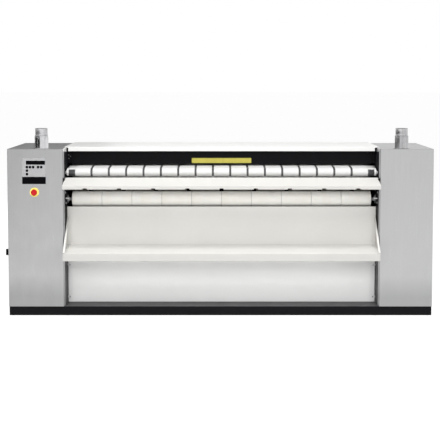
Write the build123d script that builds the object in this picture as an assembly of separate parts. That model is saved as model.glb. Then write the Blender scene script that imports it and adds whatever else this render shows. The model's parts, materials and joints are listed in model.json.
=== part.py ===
from build123d import *
from math import asin, atan2, cos, floor, hypot, pi, radians, sin
import os

# Flatwork ironer: two end cabinets carry a heated cylinder, six rollers, the feed bands
# and the ironing bands between them. Millimetres, +Z up, the operator stands on the -Y side.
# The origin is on the floor, in the middle of everything that the machine covers.

# Whole machine
body_width = 2790.0
left_cabinet_width = 363.0
right_cabinet_width = 349.0
cabinet_depth = 730.0
cabinet_height = 1100.0
plinth_height = 60.0
plinth_setback = 3.0
foot_height = 6.0
foot_radius = 25.0
foot_stem_radius = 8.0
table_reach = 112.0           # feed table and tray in front of the cabinets
gland_reach = 25.0            # cable gland behind the cabinets
sheet = 1.5                   # folded stainless and painted sheet
plinth_wall = 4.0
floor_plate = 3.0
channel_flange = 50.0
bend_radius = 2.0
corner_radius = 3.0
panel_flange = 20.0
frame_plate = 6.0             # side frames that carry the bearings
screw_radius = 5.0
screw_head = 2.5
screw_length = 12.0
fastener_gap = 0.4
cut = 1.0                     # how far an opening runs past the face that it opens

# Heated cylinder and rollers. A depth is measured back from the cabinets' front plane, a drop
# down from the cabinets' top, and an angle from the machine's rear, round the cylinder.
end_zone = 39.0               # between a cabinet and the ironing width
cylinder_radius = 162.5
cylinder_wall = 8.0
cylinder_overhang = 10.0
cylinder_depth = 430.0
cylinder_drop = 250.0
journal_radius = 40.0
journal_bore = 30.0
journal_reach = 16.0          # past its sprocket
end_disc = 12.0
exit_roller_radius = 48.0
exit_roller_gap = 36.0        # from the cylinder's face to the roller's
exit_roller_angle = 203.4
press_roller_radius = 38.0
press_roller_angle = 110.0
press_clearance = 0.6
return_roller_radius = 30.0
return_roller_gap = 52.7
return_roller_angle = -50.8
tension_roller_radius = 30.0
tension_roller_gap = 42.3
tension_roller_angle = 26.6
feed_rear_radius = 26.5
feed_rear_gap = 16.0
feed_rear_angle = 151.4
feed_front_radius = 25.0
feed_front_reach = 150.0      # in front of the rear feed roller
feed_front_dip = 7.0          # below the rear feed roller
feed_roller_overhang = 16.0
roller_overhang = 2.0
roller_wall = 5.0
shaft_radius = 12.5
running_clearance = 0.05
shaft_clearance = 3.0
ironing_band_count = 10
ironing_band_gap = 2.4
ironing_band_thickness = 3.0
feed_band_count = 17
feed_band_gap = 13.6
feed_band_inset = 25.9        # of the outermost gap's far side from the ironing width's end
feed_band_thickness = 2.0
band_clearance = 0.4

# Bearings
bearing_flange = 8.0
bearing_length = 26.0
shaft_stub = 4.0              # of a shaft past its bearing
roller_bearing_radius = 30.0
roller_bearing_hub = 22.0
cylinder_bearing_radius = 78.0
cylinder_bearing_hub = 60.0

# Heating elements
carrier_radius = 22.0
element_radius = 8.0
element_circle = 112.0
element_count = 6
element_end = 40.0            # between a rod's end and the ironing width's end
element_tail = 20.0           # of a rod past the outermost disc
element_disc_radius = 130.0
element_disc_count = 3
element_disc_thickness = 4.0
yoke_thickness = 5.0
yoke_width = 56.0
yoke_half_height = 176.0
yoke_reach = 96.0

# Drive
chain_pitch = 15.875
chain_roller_radius = 5.0
chain_plate_height = 12.0
chain_plate_thickness = 1.5
chain_inner_width = 9.0
sprocket_thickness = 8.4
tooth_share = 0.6             # of the roller's radius, outside the pitch circle
tooth_root = 0.34             # half of a tooth at its root and at its tip, in pitches
tooth_tip = 0.12
hub_length = 12.0
hub_wall = 8.0
feed_hub_wall = 2.6
roller_gap = 1.0
roller_step = 2               # pitches from one modelled roller to the next
cylinder_teeth = 57
motor_teeth = 17
drive_chain_offset = 50.0     # chain's mid-plane from the side frame
feed_chain_pitch = 12.7
feed_chain_roller_radius = 4.0
feed_chain_plate_height = 10.0
feed_drive_teeth = 57
feed_teeth = 10
feed_chain_offset = 50.0
gearbox_size = 130.0
gearbox_length = 110.0
gearbox_chamfer = 10.0
gearbox_bore = 14.0
gearbox_bore_end = 20.0       # closed end of the bore
gearbox_gap = 14.0
motor_radius = 58.0
motor_length = 190.0
motor_plate = 12.0
motor_plate_side = 6.0
motor_plate_end = 20.0
fin_count = 8
fin_height = 5.0
fin_thickness = 3.0
fin_root = 1.0
fin_end = 15.0

# Extraction fans and flues
flue_left_inset = 216.0       # flue axis from the cabinet's outer face
flue_right_inset = 202.0
flue_depth = 72.0
flue_radius = 40.5
flue_wall = 1.5
flue_step = 1.0               # the pipe's foot is this much slimmer, to sit in its collar
flue_height = 133.0           # above the cabinet
collar_radius = 44.5
collar_height = 84.0
collar_flange_radius = 53.0
collar_flange = 2.0
fan_depth = 145.0
fan_drop = 250.0
scroll_radius = 105.0
fan_width = 60.0
fan_wall = 2.0
impeller_radius = 72.0
impeller_width = 44.0
impeller_eye = 40.0
blade_count = 12
blade_thickness = 3.0
blade_length = 26.0
blade_tip_gap = 1.0           # from a blade's tip to the wheel's rim
blade_tilt = 32.0
fan_shaft_radius = 6.0
fan_hub_radius = 14.0
fan_hub_length = 20.0
fan_motor_radius = 45.0
fan_motor_length = 90.0
fan_bore_end = 10.0
fan_shaft_end = 12.0
inlet_radius = 45.0

# Covers, table and tray
cover_overlap = 8.0
cover_rise = 6.0
cover_nose = 68.0             # in front of the finger guard
cover_lip_drop = 23.0
cover_lip_gap = 12.0
cover_rear_drop = 19.0
table_side_gap = 3.0
table_roller_gap = 15.0       # behind the table, in front of the feed roller
table_sink = 32.0             # of the table's rear edge below the feed roller's axis
table_fall = 41.0
table_lip = 24.0
table_return = 12.0
table_notch_count = 9
table_notch_margin = 5.5
table_notch_width = 27.0
table_notch_height = 8.0
table_gusset_height = 34.0
table_arm_reach = 38.0        # of the arm that carries the table, behind the frame's front edge
table_arm_height = 22.0
tray_roller_gap = 11.0        # behind the tray's back, in front of the exit roller
tray_back_drop = 45.0         # of the back's top below the exit roller's axis
tray_back_height = 254.0
tray_fall = 26.0
tray_lip = 50.0
tray_return = 12.0
cheek_drop = 67.0             # below the back's top
cheek_toe = 6.0
cheek_flange = 12.0
cheek_rim = 2.4
boss_radius = 8.0
boss_inset = 10.0
lower_panel_setback = 15.0    # behind the tray's back
lower_panel_foot = 2.0        # above the plinth
lower_panel_head = 13.0       # below the tray's heel
lower_panel_side_gap = 3.0
lower_panel_flange = 22.0
lower_screw_low = 33.0        # above the panel's lower edge
lower_screw_high = 251.0
lower_screw_inset = 12.0
rear_cover_flange = 18.0
beam_size = 40.0
beam_wall = 3.0
rear_beam_inset = 68.0
rear_beam_drop = 60.0
middle_beam_shift = 100.0     # in front of the cylinder's axis
middle_beam_sink = 310.0      # below the cylinder's axis
vent_slot_count = 8
vent_slot_width = 150.0
vent_slot_height = 6.0
vent_slot_pitch = 16.0
vent_lowest = 120.0           # above the plinth
gusset_toe_drop = 14.0

# Scraper bar over the exit roller
scraper_bar_size = 18.0
scraper_bar_shift = 198.0     # in front of the cylinder's axis
scraper_bar_sink = 22.0       # below the cylinder's axis
finger_count = 9
finger_width = 27.0
finger_thickness = 1.0
finger_root = 6.0
finger_tip_gap = 1.0
finger_tip_angle = 200.0

# Finger guard
guard_shift = 118.0           # behind the feed roller's axis
guard_gap = 20.0              # over the feed roller
guard_drop = 24.0
guard_return = 14.0
guard_pin_radius = 5.0
guard_pin_length = 20.0
guard_pin_root = 2.0
guard_ear = 3.0
guard_ear_height = 12.0
guard_bracket_width = 24.0
guard_bracket_gap = 1.0
guard_bracket_depth = 20.0
guard_bracket_lift = 6.0
guard_pivot_drop = 10.0

# Controls on the left cabinet
fascia_left = 97.5            # from the cabinet's outer edge
fascia_width = 154.0
fascia_drop = 55.5
fascia_height = 174.0
fascia_thickness = 2.0
window_margin = 12.0
display_inset = 25.0
display_width = 125.0
display_drop = 20.5           # below the fascia's top
display_height = 26.0
display_thickness = 1.0
button_radius = 7.0
button_proud = 1.6
button_clearance = 0.3
button_back = 3.0
button_travel = 1.0
button_row_drop = 42.0        # below the display's top
button_row_inset = 31.5
button_row_pitch = 20.4
button_group = 3              # buttons before the wider gap
button_group_gap = 12.0
button_column_pitch = 23.0
row_button_count = 5
column_button_count = 2
control_box_depth = 17.0
control_box_margin = 14.0
control_box_foot = 2.0
estop_inset = 78.5            # from the fascia's left edge
estop_drop = 228.0            # below the fascia's top
estop_ring_radius = 30.0
estop_ring_thickness = 4.0
estop_ring_chamfer = 1.0
estop_head_radius = 20.0
estop_head_thickness = 16.0
estop_head_gap = 6.0
estop_head_seat = 6.0
estop_head_rounding = 5.0
estop_head_chamfer = 3.0
estop_plunger_radius = 8.0
estop_plunger_end = 6.0
estop_barrel_radius = 11.0
estop_barrel_length = 16.0
contact_block_size = 20.0
contact_block_depth = 10.0
switch_depth = 150.0
switch_z = 400.0
switch_plate_size = 62.0
switch_plate_thickness = 3.0
switch_knob_radius = 22.0
switch_knob_height = 25.0     # proud of the switch plate
switch_knob_base = 8.0
switch_grip_width = 13.0
switch_grip_inset = 1.5
switch_grip_rounding = 3.0
switch_knob_gap = 0.3
switch_shaft_radius = 6.0
switch_shaft_length = 19.0
switch_bore_length = 20.0
switch_collar = 3.6
switch_hole = 4.0
switch_block_size = 56.0
switch_block_depth = 48.0
side_cover_depth = 120.0
side_cover_length = 420.0
side_cover_drop = 60.0
side_cover_height = 275.0
side_cover_proud = 7.0
side_latch_radius = 23.0
side_latch_drop = 31.0
side_latch_set = 2.0          # the latch's face behind the cover's
side_latch_rounding = 2.0
side_tab_proud = 5.0
side_tab_height = 40.0
side_tab_width = 60.0
side_tab_inset = 60.0
side_tab_foot = 5.0
gland_inset = 90.0            # from the cabinet's outer edge
gland_lift = 80.0             # above the plinth
gland_end = 12.0              # inside the cabinet
gland_bore = 9.0
gland_radius = 15.0
gland_nut_radius = 20.0
gland_nut_thickness = 6.0

# Places worked out from the sizes above
left_reach = switch_plate_thickness + switch_knob_height
right_reach = side_tab_proud
total_width = body_width + left_reach + right_reach
total_depth = cabinet_depth + table_reach + gland_reach
left_x = -total_width / 2 + left_reach
right_x = left_x + body_width
opening_left = left_x + left_cabinet_width
opening_right = right_x - right_cabinet_width
work_x = (opening_left + opening_right) / 2
front_y = -total_depth / 2 + table_reach
rear_y = front_y + cabinet_depth
frame_left = opening_left + frame_plate
frame_right = opening_right - frame_plate
frame_front = front_y + panel_flange
frame_rear = rear_y - sheet
frame_top = cabinet_height - sheet
ironing_width = opening_right - opening_left - 2 * end_zone
feed_band_pitch = (ironing_width - 2 * feed_band_inset) / feed_band_count
feed_band_width = feed_band_pitch - feed_band_gap
table_notch_pitch = (ironing_width - 2 * table_notch_margin) / table_notch_count
cylinder_y = front_y + cylinder_depth
cylinder_z = cabinet_height - cylinder_drop


def beside_cylinder(radius, gap, angle):
    """The (y, z) place of a roller that stands off the cylinder by a gap, at an angle."""
    distance = cylinder_radius + gap + radius
    return (cylinder_y + distance * cos(radians(angle)),
            cylinder_z + distance * sin(radians(angle)))


press_gap = ironing_band_thickness + 2 * band_clearance + press_clearance
press_y, press_z = beside_cylinder(press_roller_radius, press_gap, press_roller_angle)
exit_y, exit_z = beside_cylinder(exit_roller_radius, exit_roller_gap, exit_roller_angle)
return_y, return_z = beside_cylinder(return_roller_radius, return_roller_gap, return_roller_angle)
tension_y, tension_z = beside_cylinder(tension_roller_radius, tension_roller_gap, tension_roller_angle)
feed_rear_y, feed_rear_z = beside_cylinder(feed_rear_radius, feed_rear_gap, feed_rear_angle)
feed_front_y = feed_rear_y - feed_front_reach
feed_front_z = feed_rear_z - feed_front_dip
shaft_end = frame_plate + bearing_length + shaft_stub
fan_y = front_y + fan_depth
fan_z = cabinet_height - fan_drop
flue_y = front_y + flue_depth
flue_left_x = left_x + flue_left_inset
flue_right_x = right_x - flue_right_inset
flue_top = cabinet_height + flue_height
table_left = frame_left + table_side_gap
table_right = frame_right - table_side_gap
table_rear_y = feed_front_y - feed_front_radius - table_roller_gap
table_rear_z = feed_front_z - table_sink
table_front_z = table_rear_z - table_fall
lip_y = front_y - table_reach
tray_back_y = exit_y - exit_roller_radius - tray_roller_gap
tray_back_top = exit_z - tray_back_drop
tray_heel_z = tray_back_top - tray_back_height
tray_front_z = tray_heel_z - tray_fall
guard_y = feed_front_y + guard_shift
guard_top = cabinet_height - guard_drop
guard_bottom = feed_front_z + feed_front_radius + guard_gap
cover_front_y = guard_y - cover_nose
cover_lip_bottom = cabinet_height - cover_lip_drop
cover_rear_bottom = cabinet_height - cover_rear_drop
fascia_x = left_x + fascia_left
fascia_top = cabinet_height - fascia_drop
display_top = fascia_top - display_drop
button_row_z = display_top - button_row_drop
estop_x = fascia_x + estop_inset
estop_z = fascia_top - estop_drop
switch_y = front_y + switch_depth
gland_x = left_x + gland_inset
gland_z = plinth_height + gland_lift


# ---------------------------------------------------------------- basic shapes

def block(x0, x1, y0, y1, z0, z1):
    """A box between two corners."""
    return Pos((x0 + x1) / 2, (y0 + y1) / 2, (z0 + z1) / 2) * Box(x1 - x0, y1 - y0, z1 - z0)


def rod_x(radius, x0, x1, y, z):
    """A round bar along X."""
    low = (Align.CENTER, Align.CENTER, Align.MIN)
    return Pos(x0, y, z) * Rot(0, 90, 0) * Cylinder(radius, x1 - x0, align=low)


def rod_y(radius, y0, y1, x, z):
    """A round bar along Y."""
    low = (Align.CENTER, Align.CENTER, Align.MIN)
    return Pos(x, y0, z) * Rot(-90, 0, 0) * Cylinder(radius, y1 - y0, align=low)


def rod_z(radius, z0, z1, x, y):
    """An upright round bar."""
    low = (Align.CENTER, Align.CENTER, Align.MIN)
    return Pos(x, y, z0) * Cylinder(radius, z1 - z0, align=low)


def side_plane(x):
    """The plane across the machine at x: its own axes are Y and Z."""
    return Plane(origin=(x, 0, 0), x_dir=(0, 1, 0), z_dir=(1, 0, 0))


def plate_x(outline, x0, x1):
    """A closed (y, z) outline of straight edges, drawn out along X."""
    face = make_face(Polyline(*outline, close=True))
    return extrude(side_plane(x0) * face, x1 - x0, dir=(1, 0, 0))


def offset_path(path, distance):
    """The same bent line, moved to its left with mitred corners."""
    normals = []
    for (y0, z0), (y1, z1) in zip(path, path[1:]):
        length = hypot(y1 - y0, z1 - z0)
        normals.append(((z0 - z1) / length, (y1 - y0) / length))
    moved = []
    for index, (y, z) in enumerate(path):
        before = normals[max(index - 1, 0)]
        after = normals[min(index, len(normals) - 1)]
        reach = distance / (1 + before[0] * after[0] + before[1] * after[1])
        moved.append((y + reach * (before[0] + after[0]), z + reach * (before[1] + after[1])))
    return moved


def folded_sheet(path, x0, x1, thickness=sheet):
    """Sheet metal folded along a (y, z) path, its thickness on the path's left."""
    other = offset_path(path, thickness)
    face = make_face(Polyline(*path, *reversed(other), close=True))
    for index in range(1, len(path) - 1):
        (ya, za), (yb, zb), (yc, zc) = path[index - 1:index + 2]
        turns_left = (yb - ya) * (zc - zb) - (zb - za) * (yc - yb) > 0
        inner, outer = (other[index], path[index]) if turns_left else (path[index], other[index])
        face = round_corner(face, inner, bend_radius)
        face = round_corner(face, outer, bend_radius + thickness)
    return extrude(side_plane(x0) * face, x1 - x0, dir=(1, 0, 0))


def round_corner(face, corner, radius):
    """Round the corner of a flat outline that lies nearest to a point."""
    nearest = face.vertices().sort_by_distance(Vector(*corner))[0]
    return fillet(nearest, radius)


def save(name, *shapes):
    """Write one sub-part, of one solid or of several."""
    solids = [solid for shape in shapes for solid in shape.solids()]
    whole = solids[0] if len(solids) == 1 else Compound(solids)
    export_step(whole, os.path.join("parts", name + ".step"))


# ---------------------------------------------------------------- bands and chains

def loop_wire(pulleys, offset):
    """Closed line round pulleys of (y, z, signed radius), moved outwards by an offset.

    A pulley inside the loop has a positive radius, one that presses on it from outside
    a negative one.
    """
    count = len(pulleys)
    headings = []
    for index, (y, z, radius) in enumerate(pulleys):
        next_y, next_z, next_radius = pulleys[(index + 1) % count]
        distance = hypot(next_y - y, next_z - z)
        heading = atan2(next_z - z, next_y - y) + asin((radius - next_radius) / distance)
        headings.append(heading)
    edges = []
    for index, (y, z, radius) in enumerate(pulleys):
        reach = radius + offset
        arrive = headings[index - 1]
        leave = headings[index]
        turn = (leave - arrive) % (2 * pi)
        if radius < 0:
            turn -= 2 * pi
        points = []
        for heading in (arrive, arrive + turn / 2, arrive + turn):
            points.append((y + reach * sin(heading), z - reach * cos(heading)))
        edges.append(ThreePointArc(*points))
    straights = []
    for index, arc in enumerate(edges):
        straights.append(Line(arc @ 1, edges[(index + 1) % count] @ 0))
    return Wire([*edges, *straights])


def loop_band(pulleys, thickness, x0, x1):
    """One endless band of even thickness round its pulleys."""
    outer = Face(loop_wire(pulleys, thickness))
    inner = Face(loop_wire(pulleys, 0))
    ring = extrude(side_plane(x0) * outer, x1 - x0, dir=(1, 0, 0))
    return ring - extrude(side_plane(x0) * inner, x1 - x0, dir=(1, 0, 0))


def make_ironing_bands():
    """Ten wide bands that press the linen on the cylinder and carry it out to the front."""
    wrap = band_clearance + ironing_band_thickness
    pulleys = [
        (press_y, press_z, press_roller_radius + band_clearance),
        (cylinder_y, cylinder_z, -(cylinder_radius + wrap)),
        (exit_y, exit_z, exit_roller_radius + band_clearance),
        (return_y, return_z, return_roller_radius + band_clearance),
        (tension_y, tension_z, tension_roller_radius + band_clearance),
    ]
    pitch = ironing_width / ironing_band_count
    width = pitch - ironing_band_gap
    first_x = work_x - ironing_width / 2 + ironing_band_gap / 2
    band = loop_band(pulleys, ironing_band_thickness, first_x, first_x + width)
    save("ironing_bands", *[Pos(index * pitch, 0, 0) * band for index in range(ironing_band_count)])


def make_feed_bands():
    """The narrow bands that carry the linen from the table to the cylinder."""
    pulleys = [
        (feed_front_y, feed_front_z, feed_front_radius + band_clearance),
        (feed_rear_y, feed_rear_z, feed_rear_radius + band_clearance),
    ]
    span = (feed_band_count - 1) * feed_band_pitch + feed_band_width
    first_x = work_x - span / 2
    band = loop_band(pulleys, feed_band_thickness, first_x, first_x + feed_band_width)
    save("feed_bands", *[Pos(index * feed_band_pitch, 0, 0) * band for index in range(feed_band_count)])


def pitch_radius(teeth, pitch):
    """Radius of the circle on which a sprocket carries its chain."""
    return pitch / (2 * sin(pi / teeth))


def tip_radius(teeth, pitch, roller_radius):
    """Radius over a sprocket's teeth."""
    return pitch_radius(teeth, pitch) + roller_radius * tooth_share


def sprocket(teeth, pitch, roller_radius, x, y, z, bore, hub_wall):
    """A toothed chain wheel in the plane at x, with a hub on its outer side."""
    root = pitch_radius(teeth, pitch) - roller_radius
    tip = tip_radius(teeth, pitch, roller_radius)
    step = 2 * pi / teeth
    outline = []
    for tooth in range(teeth):
        for share, radius in ((-tooth_root, root), (-tooth_tip, tip), (tooth_tip, tip), (tooth_root, root)):
            angle = (tooth + share) * step
            outline.append((y + radius * cos(angle), z + radius * sin(angle)))
    half = sprocket_thickness / 2
    wheel = plate_x(outline, x - half, x + half)
    hub_side = 1 if x > work_x else -1
    hub_ends = sorted((x, x + hub_side * (half + hub_length)))
    wheel += rod_x(bore + hub_wall, hub_ends[0], hub_ends[1], y, z)
    return wheel - rod_x(bore, hub_ends[0] - half - cut, hub_ends[1] + half + cut, y, z)


def chain(first, second, pitch, roller_radius, plate_height, x):
    """A roller chain round two sprockets of (y, z, teeth).

    Its side plates go all round, and its rollers lie on the free runs between the teeth.
    """
    pulleys = []
    clear = 0.0
    for y, z, teeth in (first, second):
        carry = pitch_radius(teeth, pitch)
        pulleys.append((y, z, carry - plate_height / 2))
        away = tip_radius(teeth, pitch, roller_radius) + roller_radius + roller_gap
        clear = max(clear, (away ** 2 - carry ** 2) ** 0.5)
    half = chain_inner_width / 2
    plates = []
    for low in (x - half - chain_plate_thickness, x + half):
        plates.append(loop_band(pulleys, plate_height, low, low + chain_plate_thickness))
    rollers = []
    wire = loop_wire(pulleys, plate_height / 2)
    for run in wire.edges().filter_by(GeomType.LINE):
        count = floor((run.length - 2 * clear) / (roller_step * pitch)) + 1
        first_roller = (run.length - (count - 1) * roller_step * pitch) / 2
        for index in range(count):
            point = run @ ((first_roller + index * roller_step * pitch) / run.length)
            shape = side_plane(x - half) * (Pos(point.X, point.Y) * RegularPolygon(roller_radius, 6))
            rollers.append(extrude(shape, 2 * half, dir=(1, 0, 0)))
    return plates + rollers


# ---------------------------------------------------------------- cylinder and rollers

def hollow_roller(radius, overhang, y, z):
    """A tube with end discs on a through shaft, centred between the side frames."""
    x0 = work_x - ironing_width / 2 - overhang
    x1 = work_x + ironing_width / 2 + overhang
    body = rod_x(radius, x0, x1, y, z)
    body -= rod_x(radius - roller_wall, x0 + end_disc, x1 - end_disc, y, z)
    return body + rod_x(shaft_radius, frame_left - shaft_end, frame_right + shaft_end, y, z)


def make_rollers():
    """The six rollers that turn the bands."""
    save("feed_front_roller", hollow_roller(feed_front_radius, feed_roller_overhang, feed_front_y,
                                            feed_front_z))
    rear = hollow_roller(feed_rear_radius, feed_roller_overhang, feed_rear_y, feed_rear_z)
    reach = opening_left - feed_chain_offset - sprocket_thickness
    rear += rod_x(shaft_radius, reach, opening_left, feed_rear_y, feed_rear_z)
    save("feed_rear_roller", rear)
    save("press_roller", hollow_roller(press_roller_radius, roller_overhang, press_y, press_z))
    save("exit_roller", hollow_roller(exit_roller_radius, roller_overhang, exit_y, exit_z))
    save("return_roller", hollow_roller(return_roller_radius, roller_overhang, return_y, return_z))
    save("tension_roller", hollow_roller(tension_roller_radius, roller_overhang, tension_y, tension_z))


def make_cylinder():
    """The polished drum with its hollow journals."""
    x0 = work_x - ironing_width / 2 - cylinder_overhang
    x1 = work_x + ironing_width / 2 + cylinder_overhang
    drum = rod_x(cylinder_radius, x0, x1, cylinder_y, cylinder_z)
    drum -= rod_x(cylinder_radius - cylinder_wall, x0 + end_disc, x1 - end_disc, cylinder_y, cylinder_z)
    journal_end = drive_chain_offset + sprocket_thickness / 2 + journal_reach
    drum += rod_x(journal_radius, opening_left - journal_end, x0 + end_disc / 2, cylinder_y, cylinder_z)
    drum += rod_x(journal_radius, x1 - end_disc / 2, opening_right + journal_end, cylinder_y, cylinder_z)
    drum -= rod_x(journal_bore, left_x, right_x, cylinder_y, cylinder_z)
    save("heated_cylinder", drum)
    drive = sprocket(cylinder_teeth, chain_pitch, chain_roller_radius,
                     opening_right + drive_chain_offset, cylinder_y, cylinder_z, journal_radius,
                     hub_wall)
    feed = sprocket(feed_drive_teeth, feed_chain_pitch, feed_chain_roller_radius,
                    opening_left - feed_chain_offset, cylinder_y, cylinder_z, journal_radius,
                    hub_wall)
    save("cylinder_sprockets", drive, feed)


def make_heating_elements():
    """Heating rods on a standing carrier inside the drum, held by a yoke at each end."""
    yoke_left = opening_left - yoke_reach
    yoke_right = opening_right + yoke_reach
    core = rod_x(carrier_radius, yoke_left, yoke_right, cylinder_y, cylinder_z)
    x0 = work_x - ironing_width / 2 + element_end
    x1 = work_x + ironing_width / 2 - element_end
    first_disc = x0 + element_tail
    disc_pitch = (x1 - x0 - 2 * element_tail) / (element_disc_count - 1)
    for index in range(element_disc_count):
        x = first_disc + index * disc_pitch - element_disc_thickness / 2
        core += rod_x(element_disc_radius, x, x + element_disc_thickness, cylinder_y, cylinder_z)
    for index in range(element_count):
        angle = 2 * pi * index / element_count
        y = cylinder_y + element_circle * cos(angle)
        z = cylinder_z + element_circle * sin(angle)
        core += rod_x(element_radius, x0, x1, y, z)
    core += yoke(yoke_left, opening_left)
    core += yoke(yoke_right, opening_right)
    save("heating_elements", core)


def yoke(x_end, x_frame):
    """A strap from the side frame over the sprocket to the carrier's end."""
    low, high = sorted((x_end, x_frame))
    y0 = cylinder_y - yoke_width / 2
    y1 = cylinder_y + yoke_width / 2
    z0 = cylinder_z - yoke_half_height
    z1 = cylinder_z + yoke_half_height
    strap = block(low, high, y0, y1, z0, z1)
    inner_low = low + yoke_thickness if x_end < x_frame else low - cut
    inner_high = high + cut if x_end < x_frame else high - yoke_thickness
    return strap - block(inner_low, inner_high, y0 - cut, y1 + cut,
                         z0 + yoke_thickness, z1 - yoke_thickness)


def bearing(radius, hub_radius, bore, x_frame, side, y, z):
    """A flanged bearing on the outside of a side frame."""
    flange_ends = sorted((x_frame, x_frame + side * bearing_flange))
    hub_ends = sorted((x_frame, x_frame + side * bearing_length))
    unit = rod_x(radius, flange_ends[0], flange_ends[1], y, z)
    unit += rod_x(hub_radius, hub_ends[0], hub_ends[1], y, z)
    return unit - rod_x(bore + running_clearance, hub_ends[0] - cut, hub_ends[1] + cut, y, z)


def roller_places():
    """The (y, z) places of the six roller shafts."""
    return [
        (feed_front_y, feed_front_z),
        (feed_rear_y, feed_rear_z),
        (press_y, press_z),
        (exit_y, exit_z),
        (return_y, return_z),
        (tension_y, tension_z),
    ]


def make_bearings():
    """Both ends of the drum and of every roller."""
    units = []
    for x_frame, side in ((opening_left, -1), (opening_right, 1)):
        units.append(bearing(cylinder_bearing_radius, cylinder_bearing_hub, journal_radius,
                             x_frame, side, cylinder_y, cylinder_z))
        for y, z in roller_places():
            units.append(bearing(roller_bearing_radius, roller_bearing_hub, shaft_radius,
                                 x_frame, side, y, z))
    save("bearings", *units)


# ---------------------------------------------------------------- drive and fans

def make_gearmotor(x, y, z):
    """The worm gearbox on its plate, with a ribbed motor on its front; x is the box's near face."""
    half = gearbox_size / 2
    box = block(x, x + gearbox_length, y - half, y + half, z - half, z + half)
    box = chamfer(box.edges().filter_by(Axis.X), gearbox_chamfer)
    box += block(x - motor_plate_side, x + gearbox_length + motor_plate_side,
                 y - half - motor_plate_end, y + half + motor_plate_end,
                 plinth_height, plinth_height + motor_plate)
    middle_x = x + gearbox_length / 2
    box += rod_y(motor_radius, y - half - motor_length, y - half, middle_x, z)
    middle = Pos(middle_x, y - half - motor_length / 2, z) * Rot(-90, 0, 0)
    fin = Box(fin_height + fin_root, fin_thickness, motor_length - 2 * fin_end)
    for index in range(fin_count):
        turned = Rot(0, 0, 360.0 * index / fin_count)
        box += middle * turned * Pos(motor_radius + (fin_height - fin_root) / 2, 0, 0) * fin
    bore = gearbox_bore + running_clearance
    return box - rod_x(bore, x - cut, x + gearbox_length - gearbox_bore_end, y, z)


def make_drive():
    """Gearmotor on the base, its sprocket, and both chains."""
    motor_z = plinth_height + motor_plate + gearbox_size / 2
    chain_x = opening_right + drive_chain_offset
    sprocket_face = chain_x + sprocket_thickness / 2 + hub_length
    gearbox_x = sprocket_face + gearbox_gap
    save("gearmotor", make_gearmotor(gearbox_x, cylinder_y, motor_z))
    shaft_tip = gearbox_x + gearbox_length - gearbox_bore_end - 2 * cut
    shaft = rod_x(gearbox_bore, chain_x - sprocket_thickness / 2, shaft_tip, cylinder_y, motor_z)
    wheel = sprocket(motor_teeth, chain_pitch, chain_roller_radius, chain_x, cylinder_y, motor_z,
                     gearbox_bore, hub_wall)
    save("motor_sprocket", shaft + wheel)
    drive = chain((cylinder_y, cylinder_z, cylinder_teeth), (cylinder_y, motor_z, motor_teeth),
                  chain_pitch, chain_roller_radius, chain_plate_height, chain_x)
    feed_x = opening_left - feed_chain_offset
    feed = chain((cylinder_y, cylinder_z, feed_drive_teeth), (feed_rear_y, feed_rear_z, feed_teeth),
                 feed_chain_pitch, feed_chain_roller_radius, feed_chain_plate_height, feed_x)
    save("drive_chains", *drive, *feed)
    save("feed_sprocket", sprocket(feed_teeth, feed_chain_pitch, feed_chain_roller_radius,
                                   feed_x, feed_rear_y, feed_rear_z, shaft_radius, feed_hub_wall))


def scroll_profile(inset, x0, x1):
    """A scroll and its upright outlet, drawn out along X, drawn in by an inset all round."""
    scroll_y = flue_y - flue_radius + scroll_radius
    shape = rod_x(scroll_radius - inset, x0, x1, scroll_y, fan_z)
    outlet = block(x0, x1, flue_y - flue_radius + inset, flue_y + flue_radius - inset,
                   fan_z, frame_top)
    return shape + outlet


def fan_housing(x, x_frame, side):
    """A scroll between two side plates, its inlet duct from the side frame, and its motor."""
    half = fan_width / 2
    inner = half - fan_wall
    strip = scroll_profile(0.0, x - inner, x + inner)
    strip -= scroll_profile(fan_wall, x - half, x + half)
    strip -= block(x - half, x + half, flue_y - flue_radius + fan_wall,
                   flue_y + flue_radius - fan_wall, fan_z, frame_top + cut)
    near = sorted((x - side * half, x - side * inner))
    near_plate = scroll_profile(0.0, near[0], near[1])
    near_plate -= rod_x(inlet_radius, near[0] - cut, near[1] + cut, fan_y, fan_z)
    far = sorted((x + side * inner, x + side * half))
    bore = fan_shaft_radius + running_clearance
    far_plate = scroll_profile(0.0, far[0], far[1])
    far_plate -= rod_x(bore, far[0] - cut, far[1] + cut, fan_y, fan_z)
    duct_ends = sorted((x_frame, x - side * half))
    duct = rod_x(inlet_radius + fan_wall, duct_ends[0], duct_ends[1], fan_y, fan_z)
    duct -= rod_x(inlet_radius, duct_ends[0] - cut, duct_ends[1] + cut, fan_y, fan_z)
    motor_ends = sorted((x + side * half, x + side * (half + fan_motor_length)))
    motor = rod_x(fan_motor_radius, motor_ends[0], motor_ends[1], fan_y, fan_z)
    bore_ends = sorted((x, x + side * (half + fan_motor_length - fan_bore_end)))
    motor -= rod_x(bore, bore_ends[0], bore_ends[1], fan_y, fan_z)
    return [strip, near_plate, far_plate, duct, motor]


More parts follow.
